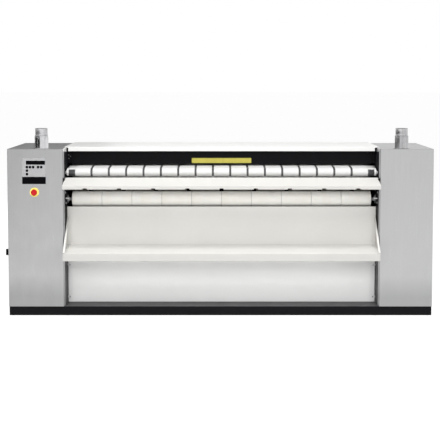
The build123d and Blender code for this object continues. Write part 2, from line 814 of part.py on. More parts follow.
def impeller(x, side):
    """A fan wheel: back disc, blades and front ring on a shaft."""
    half = impeller_width / 2
    disc_ends = sorted((x + side * half, x + side * (half - fan_wall)))
    wheel = rod_x(impeller_radius, disc_ends[0], disc_ends[1], fan_y, fan_z)
    ring_ends = sorted((x - side * half, x - side * (half - fan_wall)))
    ring = rod_x(impeller_radius, ring_ends[0], ring_ends[1], fan_y, fan_z)
    ring -= rod_x(impeller_eye, ring_ends[0] - cut, ring_ends[1] + cut, fan_y, fan_z)
    wheel += ring
    hub = sorted((x + side * (half - fan_hub_length), x + side * half))
    wheel += rod_x(fan_hub_radius, hub[0], hub[1], fan_y, fan_z)
    shaft_tip = x + side * (fan_width / 2 + fan_motor_length - fan_shaft_end)
    shaft = sorted((x + side * (half - fan_hub_length), shaft_tip))
    wheel += rod_x(fan_shaft_radius, shaft[0], shaft[1], fan_y, fan_z)
    middle = impeller_radius - blade_tip_gap - blade_length / 2
    blade = Box(impeller_width - fan_wall, blade_thickness, blade_length)
    for index in range(blade_count):
        turned = Pos(x, fan_y, fan_z) * Rot(360.0 * index / blade_count, 0, 0)
        wheel += turned * Pos(0, 0, middle) * Rot(blade_tilt, 0, 0) * blade
    return wheel


def make_fans():
    """One extraction fan in each cabinet, under its flue."""
    left = fan_housing(flue_left_x, opening_left, -1)
    right = fan_housing(flue_right_x, opening_right, 1)
    save("fan_housings", *left, *right)
    save("left_fan_impeller", impeller(flue_left_x, -1))
    save("right_fan_impeller", impeller(flue_right_x, 1))


def make_flues():
    """The collars on the cabinet tops and the pipes that stand in them."""
    collars = []
    pipes = []
    spigot_radius = flue_radius - flue_step
    collar_top = cabinet_height + collar_height
    for x in (flue_left_x, flue_right_x):
        collar = rod_z(collar_radius, cabinet_height, collar_top, x, flue_y)
        collar += rod_z(collar_flange_radius, cabinet_height, cabinet_height + collar_flange, x, flue_y)
        collar -= rod_z(spigot_radius + fastener_gap, cabinet_height - cut, collar_top + cut, x, flue_y)
        collars.append(collar)
        pipe = rod_z(spigot_radius, cabinet_height, collar_top, x, flue_y)
        pipe += rod_z(flue_radius, collar_top, flue_top, x, flue_y)
        bore = spigot_radius - flue_wall
        pipes.append(pipe - rod_z(bore, cabinet_height - cut, flue_top + cut, x, flue_y))
    save("flue_collars", *collars)
    save("flue_pipes", *pipes)


# ---------------------------------------------------------------- frame and cabinets

def make_base():
    """Plinth of folded channel with a floor plate, on levelling feet."""
    x0 = left_x + plinth_setback
    x1 = right_x - plinth_setback
    y0 = front_y + plinth_setback
    y1 = rear_y - plinth_setback
    plinth = block(x0, x1, y0, y1, foot_height, plinth_height)
    cross = plinth_wall / 2
    walls = [x0 + plinth_wall, opening_left, work_x, opening_right, x1 - plinth_wall]
    for index, (low, high) in enumerate(zip(walls, walls[1:])):
        start = low if index == 0 else low + cross
        stop = high if index == len(walls) - 2 else high - cross
        plinth -= block(start, stop, y0 + plinth_wall, y1 - plinth_wall,
                        foot_height + floor_plate, plinth_height - floor_plate)
        plinth -= block(start + channel_flange, stop - channel_flange, y0 + channel_flange,
                        y1 - channel_flange, foot_height - cut, foot_height + floor_plate + cut)
    feet = []
    stem_top = plinth_height - floor_plate - foot_height
    inset = channel_flange / 2
    for x in (x0 + inset, opening_left + inset, opening_right - inset, x1 - inset):
        for y in (y0 + inset, y1 - inset):
            plinth -= rod_z(foot_stem_radius + fastener_gap, foot_height - cut,
                            foot_height + floor_plate + cut, x, y)
            foot = rod_z(foot_radius, 0, foot_height, x, y)
            feet.append(foot + rod_z(foot_stem_radius, foot_height, stem_top, x, y))
    save("base_frame", plinth)
    save("levelling_feet", *feet)


def make_side_frame(name, x0, x1):
    """A plate that carries the bearings, with the fan's inlet hole."""
    plate = block(x0, x1, frame_front, frame_rear, plinth_height, frame_top)
    for y, z in roller_places():
        plate -= rod_x(shaft_radius + shaft_clearance, x0 - cut, x1 + cut, y, z)
    plate -= rod_x(journal_radius + shaft_clearance, x0 - cut, x1 + cut, cylinder_y, cylinder_z)
    plate -= rod_x(inlet_radius, x0 - cut, x1 + cut, fan_y, fan_z)
    save(name, plate)


def tray_panel(corner_low, corner_high, open_axis, open_side):
    """A sheet box between two corners, open towards one side (1 or -1) of an axis (0, 1 or 2)."""
    inner_low = [value + sheet for value in corner_low]
    inner_high = [value - sheet for value in corner_high]
    if open_side > 0:
        inner_high[open_axis] = corner_high[open_axis] + cut
    else:
        inner_low[open_axis] = corner_low[open_axis] - cut
    (x0, y0, z0), (x1, y1, z1) = corner_low, corner_high
    shell = block(x0, x1, y0, y1, z0, z1)
    if (open_axis, open_side) == (1, 1):
        shell = fillet(shell.edges().filter_by(Axis.Z).group_by(Axis.Y)[0], corner_radius)
    return shell - block(inner_low[0], inner_high[0], inner_low[1], inner_high[1],
                         inner_low[2], inner_high[2])


def button_places():
    """The (x, z) places of the control buttons: a row in two groups, then a column."""
    first_x = fascia_x + button_row_inset
    places = []
    for index in range(row_button_count):
        extra = button_group_gap if index >= button_group else 0.0
        places.append((first_x + index * button_row_pitch + extra, button_row_z))
    for index in range(column_button_count):
        places.append((first_x, button_row_z - (index + 1) * button_column_pitch))
    return places


def make_front_panels():
    """Plain stainless fronts; the left one is cut out for the controls."""
    left = tray_panel((left_x, front_y, plinth_height), (opening_left, frame_front, frame_top), 1, 1)
    left -= block(fascia_x + window_margin, fascia_x + fascia_width - window_margin / 2,
                  front_y - cut, front_y + sheet + cut,
                  fascia_top - fascia_height + window_margin, fascia_top - window_margin)
    left -= rod_y(estop_barrel_radius + fastener_gap, front_y - cut, front_y + sheet + cut,
                  estop_x, estop_z)
    right = tray_panel((opening_right, front_y, plinth_height), (right_x, frame_front, frame_top), 1, 1)
    save("left_front_panel", left)
    save("right_front_panel", right)


def make_outer_panels():
    """The cabinets' outer sides."""
    y0 = frame_front
    y1 = rear_y - panel_flange
    left = tray_panel((left_x, y0, plinth_height), (left_x + panel_flange, y1, frame_top), 0, 1)
    left -= rod_x(switch_shaft_radius + switch_hole, left_x - cut, left_x + sheet + cut,
                  switch_y, switch_z)
    right = tray_panel((right_x - panel_flange, y0, plinth_height), (right_x, y1, frame_top), 0, -1)
    tab_y0 = y0 + side_tab_inset
    tab_y1 = tab_y0 + side_tab_width
    tab_z0 = plinth_height + side_tab_foot
    tab_z1 = tab_z0 + side_tab_height
    left += block(left_x - side_tab_proud, left_x + sheet / 2, tab_y0, tab_y1, tab_z0, tab_z1)
    right += block(right_x - sheet / 2, right_x + side_tab_proud, tab_y0, tab_y1, tab_z0, tab_z1)
    save("left_outer_panel", left)
    save("right_outer_panel", right)


def make_top_panels():
    """The cabinets' tops, each with its flue hole."""
    hole = flue_radius - flue_step - flue_wall
    for name, x0, x1, flue_x in (("left_top_panel", left_x, opening_left, flue_left_x),
                                 ("right_top_panel", opening_right, right_x, flue_right_x)):
        top = block(x0, x1, front_y, rear_y, frame_top, cabinet_height)
        save(name, top - rod_z(hole, frame_top - cut, cabinet_height + cut, flue_x, flue_y))


def make_rear_panels():
    """The cabinets' backs, slotted to cool the drive and the controls."""
    y0 = rear_y - panel_flange
    for name, x0, x1 in (("left_rear_panel", left_x, opening_left),
                         ("right_rear_panel", opening_right, right_x)):
        panel = tray_panel((x0, y0, plinth_height), (x1, rear_y, frame_top), 1, -1)
        middle = (x0 + x1) / 2
        for index in range(vent_slot_count):
            low = plinth_height + vent_lowest + index * vent_slot_pitch
            panel -= block(middle - vent_slot_width / 2, middle + vent_slot_width / 2,
                           rear_y - sheet - cut, rear_y + cut, low, low + vent_slot_height)
        if name == "left_rear_panel":
            panel -= rod_y(gland_radius + fastener_gap, rear_y - sheet - cut, rear_y + cut,
                           gland_x, gland_z)
        save(name, panel)


def make_cable_gland():
    """The mains inlet in the left cabinet's back."""
    inner = rear_y - gland_end
    outer = rear_y + gland_reach
    gland = rod_y(gland_radius, inner, outer, gland_x, gland_z)
    face = Plane(origin=(gland_x, rear_y, gland_z), x_dir=(1, 0, 0), z_dir=(0, 1, 0))
    gland += extrude(face * RegularPolygon(gland_nut_radius, 6), gland_nut_thickness, dir=(0, 1, 0))
    gland += rod_y(gland_nut_radius, rear_y - sheet - gland_nut_thickness, rear_y - sheet,
                   gland_x, gland_z)
    save("cable_gland", gland - rod_y(gland_bore, inner - cut, outer + cut, gland_x, gland_z))


def make_cross_beams():
    """Box tubes that tie the side frames together."""
    places = (
        (rear_y - rear_beam_inset, cabinet_height - rear_beam_drop),
        (cylinder_y - middle_beam_shift, cylinder_z - middle_beam_sink),
    )
    beams = []
    for y, z in places:
        beam = block(frame_left, frame_right, y, y + beam_size, z, z + beam_size)
        beams.append(beam - block(frame_left - cut, frame_right + cut, y + beam_wall,
                                  y + beam_size - beam_wall, z + beam_wall, z + beam_size - beam_wall))
    save("cross_beams", *beams)


# ---------------------------------------------------------------- covers, table and tray

def make_top_cover():
    """The white lid over the cylinder: it lies on both cabinet tops."""
    y0 = cover_front_y
    low = opening_left - cover_overlap
    high = opening_right + cover_overlap
    top = cabinet_height + cover_rise
    lid = block(low, high, y0, rear_y, cabinet_height, top)
    lid = fillet(lid.edges().filter_by(Axis.X).group_by(Axis.Z)[-1], corner_radius)
    lid -= block(low + sheet, high - sheet, y0 + sheet, rear_y - sheet, cabinet_height - cut,
                 top - sheet)
    x0 = frame_left + cover_lip_gap
    x1 = frame_right - cover_lip_gap
    lid += block(x0, x1, y0, y0 + sheet, cover_lip_bottom, cabinet_height + cut)
    lid += block(x0, x1, y0, y0 + cover_nose, cover_lip_bottom, cover_lip_bottom + sheet)
    lid += block(x0, x1, rear_y - sheet, rear_y, cover_rear_bottom, cabinet_height + cut)
    save("top_cover", lid)


def make_rear_cover():
    """The panel that closes the back between the side frames."""
    low = (frame_left, frame_rear - rear_cover_flange, plinth_height)
    high = (frame_right, frame_rear, cover_rear_bottom)
    save("rear_cover", tray_panel(low, high, 1, -1))


def wall_bosses(gap, y_places, z):
    """Spacers between a wide panel's ends and the side frames."""
    bosses = []
    for y in y_places:
        bosses.append(rod_x(boss_radius, frame_left, frame_left + gap, y, z))
        bosses.append(rod_x(boss_radius, frame_right - gap, frame_right, y, z))
    return bosses


def make_feed_table():
    """The white table on which linen is laid, with its notched front lip."""
    x0 = table_left
    x1 = table_right
    lip_z = table_front_z - table_lip
    path = [
        (table_rear_y, table_rear_z - table_gusset_height),
        (table_rear_y, table_rear_z),
        (lip_y, table_front_z),
        (lip_y, lip_z),
        (lip_y + table_return, lip_z),
    ]
    table = folded_sheet(path, x0, x1)
    slope = table_fall / (table_rear_y - lip_y)
    toe_y = (front_y + lip_y) / 2
    toe_z = table_front_z + slope * (toe_y - lip_y) - sheet
    back = table_rear_y - sheet
    gusset = [
        (toe_y, toe_z),
        (back, table_rear_z - sheet),
        (back, table_rear_z - table_gusset_height),
        (frame_front, table_rear_z - table_gusset_height - gusset_toe_drop),
    ]
    arm_z = table_rear_z - table_gusset_height + cut
    arm_y = (frame_front, frame_front + table_arm_reach)
    arm_front = min(frame_front, back - table_arm_height)
    for low in (x0, x1 - sheet):
        table += plate_x(gusset, low, low + sheet)
        table += block(low, low + sheet, arm_front, arm_y[1], arm_z - table_arm_height / 2,
                       arm_z + table_arm_height / 2)
    first_x = work_x - (table_notch_count - 1) / 2 * table_notch_pitch - table_notch_width / 2
    for index in range(table_notch_count):
        x = first_x + index * table_notch_pitch
        table -= block(x, x + table_notch_width, lip_y - cut, lip_y + table_return + cut,
                       lip_z - cut, lip_z + table_notch_height)
    boss_y = (arm_y[0] + boss_inset, arm_y[1] - boss_inset)
    for boss in wall_bosses(table_side_gap, boss_y, arm_z):
        table += boss
    save("feed_table", table)


def make_collector_tray():
    """The white tray that catches the ironed linen, closed by a cheek at each end."""
    x0 = table_left
    x1 = table_right
    lip_z = tray_front_z - tray_lip
    path = [
        (tray_back_y, tray_back_top),
        (tray_back_y, tray_heel_z),
        (lip_y, tray_front_z),
        (lip_y, lip_z),
        (lip_y + tray_return, lip_z),
    ]
    tray = folded_sheet(path, x0, x1)
    middle = sheet / 2
    cheek_top = tray_back_top - cheek_drop
    toe_z = tray_front_z + cheek_toe
    cheek = [
        (tray_back_y + middle, cheek_top),
        (tray_back_y + middle, tray_heel_z - middle),
        (lip_y + middle, tray_front_z - middle),
        (lip_y + middle, toe_z),
    ]
    rim = [
        (tray_back_y, cheek_top),
        (lip_y + middle, toe_z),
        (lip_y + middle, toe_z - cheek_rim),
        (tray_back_y, cheek_top - cheek_rim),
    ]
    tray += plate_x(cheek, x0, x0 + sheet)
    tray += plate_x(cheek, x1 - sheet, x1)
    tray += plate_x(rim, x0, x0 + cheek_flange)
    tray += plate_x(rim, x1 - cheek_flange, x1)
    boss_y = tray_back_y - boss_inset - boss_radius / 2
    for z in (tray_heel_z + cheek_drop / 2, cheek_top - cheek_drop):
        for boss in wall_bosses(table_side_gap, (boss_y,), z):
            tray += boss
    save("collector_tray", tray)


def make_lower_panel():
    """The painted panel under the tray and its four screws."""
    x0 = frame_left + lower_panel_side_gap
    x1 = frame_right - lower_panel_side_gap
    y0 = tray_back_y + lower_panel_setback
    y1 = y0 + lower_panel_flange
    foot = plinth_height + lower_panel_foot
    head = tray_heel_z - lower_panel_head
    panel = tray_panel((x0, y0, foot), (x1, y1, head), 1, 1)
    screws = []
    for z in (foot + lower_screw_low, foot + lower_screw_high):
        for x in (x0 + lower_screw_inset, x1 - lower_screw_inset):
            panel -= rod_y(screw_radius / 2 + fastener_gap, y0 - cut, y0 + sheet + cut, x, z)
            screw = rod_y(screw_radius, y0 - screw_head, y0, x, z)
            screws.append(screw + rod_y(screw_radius / 2, y0, y0 + screw_length, x, z))
        for boss in wall_bosses(lower_panel_side_gap, (y1 - boss_radius - cut,), z):
            panel += boss
    save("lower_front_panel", panel)
    save("panel_screws", *screws)


def make_scraper_bar():
    """A bar over the exit roller whose spring fingers lift the linen off the drum."""
    y0 = cylinder_y - scraper_bar_shift
    z0 = cylinder_z - scraper_bar_sink
    bar = block(frame_left, frame_right, y0, y0 + scraper_bar_size, z0, z0 + scraper_bar_size)
    reach = cylinder_radius + finger_tip_gap
    tip_y = cylinder_y + reach * cos(radians(finger_tip_angle))
    tip_z = cylinder_z + reach * sin(radians(finger_tip_angle))
    root_y = y0 + finger_root
    path = [
        (root_y, z0),
        (root_y, z0 - finger_thickness),
        (tip_y, tip_z - finger_thickness),
        (tip_y, tip_z),
    ]
    for index in range(finger_count):
        x = work_x + (index - (finger_count - 1) / 2) * table_notch_pitch
        bar += plate_x(path, x - finger_width / 2, x + finger_width / 2)
    save("scraper_bar", bar)


def make_finger_guard():
    """The black guard over the feed gap and the brackets in which it swings."""
    x0 = frame_left + guard_bracket_width + guard_bracket_gap
    x1 = frame_right - guard_bracket_width - guard_bracket_gap
    back = guard_y + guard_return
    guard = folded_sheet([(back, guard_top), (guard_y, guard_top), (guard_y, guard_bottom),
                          (back, guard_bottom)], x0, x1)
    pivot_y = guard_y + guard_return / 2
    pivot_z = guard_top - guard_pivot_drop
    for low in (x0, x1 - guard_ear):
        guard += block(low, low + guard_ear, guard_y + sheet / 2, back,
                       pivot_z - guard_ear_height, guard_top - sheet / 2)
    guard += rod_x(guard_pin_radius, x0 - guard_pin_length, x0 + guard_pin_root, pivot_y, pivot_z)
    guard += rod_x(guard_pin_radius, x1 - guard_pin_root, x1 + guard_pin_length, pivot_y, pivot_z)
    save("finger_guard", guard)
    brackets = []
    for low in (frame_left, frame_right - guard_bracket_width):
        high = low + guard_bracket_width
        bracket = block(low, high, guard_y, guard_y + guard_bracket_depth,
                        guard_bottom + guard_bracket_lift, guard_top)
        brackets.append(bracket - rod_x(guard_pin_radius + running_clearance, low - cut, high + cut,
                                        pivot_y, pivot_z))
    save("guard_brackets", *brackets)


# ---------------------------------------------------------------- controls

def make_controls():
    """Fascia, display, buttons and the control box behind them."""
    x0 = fascia_x
    x1 = x0 + fascia_width
    z1 = fascia_top
    z0 = fascia_top - fascia_height
    y0 = front_y - fascia_thickness
    fascia = block(x0, x1, y0, front_y, z0, z1)
    fascia = fillet(fascia.edges().filter_by(Axis.Y), corner_radius)
    window_x0 = x0 + display_inset
    window_x1 = window_x0 + display_width
    window_z0 = display_top - display_height
    fascia -= block(window_x0, window_x1, y0 - cut, y0 + display_thickness, window_z0, display_top)
    save("display", block(window_x0, window_x1, y0, y0 + display_thickness, window_z0, display_top))
    for index, (x, z) in enumerate(button_places()):
        fascia -= rod_y(button_radius + button_clearance, y0 - cut, front_y + cut, x, z)
        button = rod_y(button_radius, y0 - button_proud, front_y + button_back, x, z)
        button = fillet(button.edges().group_by(Axis.Y)[0], button_proud / 3)
        save("control_button_" + str(index + 1), button)
    save("control_fascia", fascia)
    margin = control_box_margin
    foot = control_box_foot
    box_y = front_y + button_back + button_travel + fastener_gap
    box = block(x0 + margin, x1 - margin / 2 - cut, box_y, box_y + control_box_depth,
                z0 + margin, z1 - margin)
    for low, high in ((z1 - margin, z1 - foot), (z0 + foot, z0 + margin)):
        box += block(x0 + 2 * foot, x1 - foot, front_y + sheet, box_y + foot, low, high)
    barrel_end = front_y + estop_barrel_length
    half = contact_block_size / 2
    contact = block(estop_x - half, estop_x + half, barrel_end, barrel_end + contact_block_depth,
                    estop_z - half, estop_z + half)
    save("control_box", box, contact)


def make_estop():
    """Yellow ring with its barrel, the plunger, and the mushroom head that twists on it."""
    ring_y = front_y - estop_ring_thickness
    barrel_end = front_y + estop_barrel_length
    ring = rod_y(estop_ring_radius, ring_y, front_y, estop_x, estop_z)
    ring = chamfer(ring.edges().group_by(Axis.Y)[0], estop_ring_chamfer)
    ring += rod_y(estop_barrel_radius, front_y - cut, barrel_end, estop_x, estop_z)
    bore = estop_plunger_radius + running_clearance
    ring -= rod_y(bore, ring_y - cut, barrel_end + cut, estop_x, estop_z)
    save("estop_ring", ring)
    head_back = ring_y - estop_head_gap
    seat = head_back - estop_head_seat
    save("estop_plunger", rod_y(estop_plunger_radius, seat, barrel_end - estop_plunger_end,
                                estop_x, estop_z))
    head = rod_y(estop_head_radius, head_back - estop_head_thickness, head_back, estop_x, estop_z)
    head = fillet(head.edges().group_by(Axis.Y)[0], estop_head_rounding)
    head = chamfer(head.edges().group_by(Axis.Y)[-1], estop_head_chamfer)
    save("estop_button", head - rod_y(bore, seat - switch_knob_gap, head_back + cut, estop_x, estop_z))


def make_main_switch():
    """Rotary main switch on the left cabinet's side."""
    half = switch_plate_size / 2
    plate_x0 = left_x - switch_plate_thickness
    inside = left_x + sheet
    base = block(plate_x0, left_x, switch_y - half, switch_y + half, switch_z - half, switch_z + half)
    base = fillet(base.edges().filter_by(Axis.X), corner_radius)
    body = switch_block_size / 2
    base += block(inside, inside + switch_block_depth, switch_y - body, switch_y + body,
                  switch_z - body, switch_z + body)
    base += rod_x(switch_shaft_radius + switch_collar, left_x - cut, inside + cut, switch_y, switch_z)
    bore = switch_shaft_radius + running_clearance
    base -= rod_x(bore, plate_x0 - cut, inside + switch_bore_length, switch_y, switch_z)
    save("main_switch_base", base)
    knob_back = plate_x0 - switch_knob_gap
    knob_front = plate_x0 - switch_knob_height
    knob = rod_x(switch_knob_radius, knob_back - switch_knob_base, knob_back, switch_y, switch_z)
    grip_half = switch_knob_radius - switch_grip_inset
    grip = block(knob_front, knob_back, switch_y - switch_grip_width / 2,
                 switch_y + switch_grip_width / 2, switch_z - grip_half, switch_z + grip_half)
    knob += fillet(grip.edges().group_by(Axis.X)[0], switch_grip_rounding)
    knob += rod_x(switch_shaft_radius, knob_back - cut, inside + switch_shaft_length,
                  switch_y, switch_z)
    save("main_switch_knob", knob)


def make_side_cover():
    """The raised service cover on the left side, with its latch."""
    y0 = front_y + side_cover_depth
    y1 = y0 + side_cover_length
    x0 = left_x - side_cover_proud
    top = cabinet_height - side_cover_drop
    bottom = top - side_cover_height
    cover = block(x0, left_x, y0, y1, bottom, top)
    cover = fillet(cover.edges().group_by(Axis.X)[0], corner_radius)
    cover -= block(x0 + sheet, left_x + cut, y0 + sheet, y1 - sheet, bottom + sheet, top - sheet)
    latch = rod_x(side_latch_radius, x0 + side_latch_set, left_x, (y0 + y1) / 2,
                  bottom - side_latch_drop)
    latch = fillet(latch.edges().group_by(Axis.X)[0], side_latch_rounding)
    save("side_service_cover", cover, latch)


def main():
    """Build and write every sub-part."""
    os.makedirs("parts", exist_ok=True)
    make_base()
    make_side_frame("left_side_frame", opening_left, frame_left)
    make_side_frame("right_side_frame", frame_right, opening_right)
    make_front_panels()
    make_outer_panels()
    make_top_panels()
    make_rear_panels()
    make_cable_gland()
    make_cross_beams()
    make_cylinder()
    make_heating_elements()
    make_rollers()
    make_bearings()
    make_ironing_bands()
    make_feed_bands()
    make_drive()
    make_fans()
    make_flues()
    make_top_cover()
    make_rear_cover()
    make_feed_table()
    make_collector_tray()
    make_lower_panel()
    make_scraper_bar()
    make_finger_guard()
    make_controls()
    make_estop()
    make_main_switch()
    make_side_cover()


main()
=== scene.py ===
"""Dresses the flatwork ironer: sheet metal, bands, rollers, flues, controls and fasteners.

Every size is in metres. The frame gives each piece its place, and the finish, the rounding of
edges, the seams, the fasteners and the two sets of bands are made here.
"""
import json
from math import asin, atan2, ceil, cos, hypot, pi, radians, sin

import bpy
from bpy.props import FloatProperty, FloatVectorProperty, IntProperty, PointerProperty
from mathutils import Matrix, Vector


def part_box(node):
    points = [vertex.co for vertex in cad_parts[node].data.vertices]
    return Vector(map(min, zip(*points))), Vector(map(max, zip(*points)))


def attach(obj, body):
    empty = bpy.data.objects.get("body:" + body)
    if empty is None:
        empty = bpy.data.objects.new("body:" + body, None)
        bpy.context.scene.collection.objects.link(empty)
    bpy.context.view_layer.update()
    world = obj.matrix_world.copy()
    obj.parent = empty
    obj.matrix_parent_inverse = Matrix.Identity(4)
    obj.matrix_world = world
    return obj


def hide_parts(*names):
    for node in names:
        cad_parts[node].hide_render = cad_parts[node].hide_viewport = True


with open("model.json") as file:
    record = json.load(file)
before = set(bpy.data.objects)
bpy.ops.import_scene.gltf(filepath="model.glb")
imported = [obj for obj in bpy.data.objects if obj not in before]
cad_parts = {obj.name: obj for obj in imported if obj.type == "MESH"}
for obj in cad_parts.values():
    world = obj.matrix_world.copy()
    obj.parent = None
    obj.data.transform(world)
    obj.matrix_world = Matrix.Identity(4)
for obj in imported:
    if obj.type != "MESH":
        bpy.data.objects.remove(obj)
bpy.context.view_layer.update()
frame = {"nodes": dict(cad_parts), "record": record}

bl_info = {
    "name": "Flatwork ironer",
    "version": (1, 0, 0),
    "blender": (4, 5, 0),
    "location": "View3D > Sidebar > Ironer",
    "description": "Builds the visible pieces of a flatwork ironer over its frame",
    "category": "Add Mesh",
}

CABINET_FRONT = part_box("left_front_panel")[0].y
FRAME_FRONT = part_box("left_side_frame")[0].y
FRAMES = ("left_side_frame", "right_side_frame")
# Inner face of each side frame, and the sign of inwards along X.
WALLS = ((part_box("left_side_frame")[1].x, 1), (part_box("right_side_frame")[0].x, -1))


# ---------------------------------------------------------------- sizes and colours

def colour(name, description, default):
    """A colour that the user can change."""
    return FloatVectorProperty(name=name, description=description, subtype="COLOR", size=3,
                               min=0.0, max=1.0, default=default)


def length(name, description, default):
    """A length in metres that the user can change."""
    return FloatProperty(name=name, description=description, default=default, min=0.0,
                         unit="LENGTH", precision=5)


class IronerColours(bpy.types.PropertyGroup):
    """Colours of the finishes."""

    stainless: colour("Stainless", "Brushed stainless sheet", (0.53, 0.53, 0.535))
    galvanised: colour("Galvanised", "Zinc-coated flues", (0.72, 0.72, 0.735))
    white: colour("White", "Stove-enamelled covers", (0.605, 0.605, 0.595))
    ivory: colour("Ivory", "Feed table and tray", (0.622, 0.613, 0.588))
    # Painted light: the lower panel gets a lighter copy of the white enamel, to make up for the tray's
    # shade over it.
    panel: colour("Panel", "Lower front panel", (0.86, 0.86, 0.855))
    black: colour("Black", "Guard, plinth and inner frames", (0.006, 0.006, 0.007))
    felt: colour("Felt", "Ironing bands", (0.875, 0.862, 0.815))
    cotton: colour("Cotton", "Feed bands", (0.648, 0.648, 0.641))
    yellow: colour("Yellow", "Emergency-stop ring", (0.86, 0.70, 0.16))
    strip: colour("Strip yellow", "Bare strip on the finger guard", (0.56, 0.505, 0.105))
    red: colour("Red", "Emergency-stop head", (0.40, 0.010, 0.011))
    film: colour("Film", "Control fascia", (0.315, 0.315, 0.32))


class IronerSizes(bpy.types.PropertyGroup):
    """Sizes that belong to the finish."""

    sheet_edge: length("Sheet edge", "Rounding of cut sheet edges", 0.0004)
    cast_edge: length("Cast edge", "Rounding of moulded and turned edges", 0.001)
    screw_radius: length("Screw radius", "Panel screw's head", 0.0055)
    screw_height: length("Screw height", "Panel screw's head above the sheet", 0.0022)
    bolt_radius: length("Bolt radius", "Bearing bolt's head across its corners", 0.008)
    bolt_height: length("Bolt height", "Bearing bolt's head", 0.0055)
    felt_thickness: length("Felt thickness", "Ironing band", 0.003)
    cotton_thickness: length("Webbing thickness", "Feed band", 0.002)
    band_clearance: length("Band clearance", "Between a band and its rollers", 0.0004)
    ironing_bands: IntProperty(name="Ironing bands", description="Side by side", default=10, min=1)
    ironing_gap: length("Ironing band gap", "Between neighbours", 0.0024)
    feed_bands: IntProperty(name="Feed bands", description="Side by side", default=17, min=1)
    feed_gap: length("Feed band gap", "Between neighbours", 0.0136)


class IronerStudio(bpy.types.PropertyGroup):
    """The camera and the lamps."""

    camera_x: length("Camera X", "Across the machine", 0.0082)
    camera_distance: length("Camera distance", "In front of the cabinets", 7.742)
    camera_height: length("Camera height", "Over the floor", 1.5649)
    camera_tilt: FloatProperty(name="Camera tilt", description="Below the horizon", subtype="ANGLE",
                               default=radians(4.311))
    camera_shift: FloatProperty(name="Camera shift", description="In frame heights", default=-0.12)
    lens: FloatProperty(name="Lens", description="Focal length in millimetres", default=97.13)
    low: FloatProperty(name="Low lamp", description="Power in watts", default=13.0)
    middle: FloatProperty(name="Middle lamp", description="Power in watts", default=198.0)
    high: FloatProperty(name="High lamp", description="Power in watts", default=165.0)
    top: FloatProperty(name="Top lamp", description="Power in watts", default=198.0)
    side: FloatProperty(name="Side lamps", description="Power in watts, each", default=70.0)
    rear: FloatProperty(name="Rear lamp", description="Power in watts", default=250.0)
    ambient: FloatProperty(name="Ambient", description="World strength on the object", default=0.135)
    flag: FloatProperty(name="Flag", description="Grey of the dark screens that metal mirrors",
                        default=0.035)


def sizes():
    """The finish's sizes."""
    return bpy.context.scene.ironer_sizes


def colours():
    """The finish's colours."""
    return bpy.context.scene.ironer_colours


# ---------------------------------------------------------------- bench work

def alone(piece):
    """Select one piece and nothing else."""
    bpy.ops.object.select_all(action="DESELECT")
    piece.select_set(True)
    bpy.context.view_layer.objects.active = piece


def settled(piece):
    """Put a piece's place, turn and size into its mesh."""
    alone(piece)
    bpy.ops.object.transform_apply(location=True, rotation=True, scale=True)
    return piece


def open_faces(piece, test):
    """Open a piece for editing with those faces selected whose centre and normal pass a test."""
    alone(piece)
    bpy.ops.object.mode_set(mode="EDIT")
    bpy.ops.mesh.select_mode(type="FACE")
    bpy.ops.mesh.select_all(action="DESELECT")
    bpy.ops.object.mode_set(mode="OBJECT")
    for face in piece.data.polygons:
        face.select = test(face.center, face.normal)
    bpy.ops.object.mode_set(mode="EDIT")


def close_edit():
    """Leave edit mode."""
    bpy.ops.object.mode_set(mode="OBJECT")


def smooth(piece, angle=35.0):
    """Shade a piece smooth, but keep its sharp edges."""
    alone(piece)
    bpy.ops.object.shade_smooth_by_angle(angle=radians(angle))
    return piece


def rounded(piece, width, segments=2):
    """Round every sharp edge of a piece."""
    sharp = radians(30.0)
    alone(piece)
    bpy.ops.object.modifier_add(type="BEVEL")
    bevel = piece.modifiers[-1]
    bevel.width = width
    bevel.segments = segments
    bevel.limit_method = "ANGLE"
    bevel.angle_limit = sharp
    bpy.ops.object.modifier_apply(modifier=bevel.name)
    smooth(piece)
    bpy.ops.object.modifier_add(type="WEIGHTED_NORMAL")
    piece.modifiers[-1].keep_sharp = True
    bpy.ops.object.modifier_apply(modifier=piece.modifiers[-1].name)
    return piece


def slab(name, low, high):
    """A box between two corners, ready to be shaped."""
    low, high = Vector(low), Vector(high)
    bpy.ops.object.select_all(action="DESELECT")
    bpy.ops.mesh.primitive_cube_add(size=1.0, location=(low + high) / 2, scale=high - low)
    piece = bpy.context.object
    piece.name = name
    return settled(piece)


TURNS = {"X": (0.0, radians(90.0), 0.0), "Z": (0.0, 0.0, 0.0)}


def rod(name, axis, radius, start, end, sides):
    """A round bar from one point to another along an axis, ready to be shaped."""
    start, end = Vector(start), Vector(end)
    bpy.ops.object.select_all(action="DESELECT")
    bpy.ops.mesh.primitive_cylinder_add(vertices=sides, radius=radius, depth=(end - start).length,
                                        location=(start + end) / 2, rotation=TURNS[axis])
    piece = bpy.context.object
    piece.name = name
    return settled(piece)


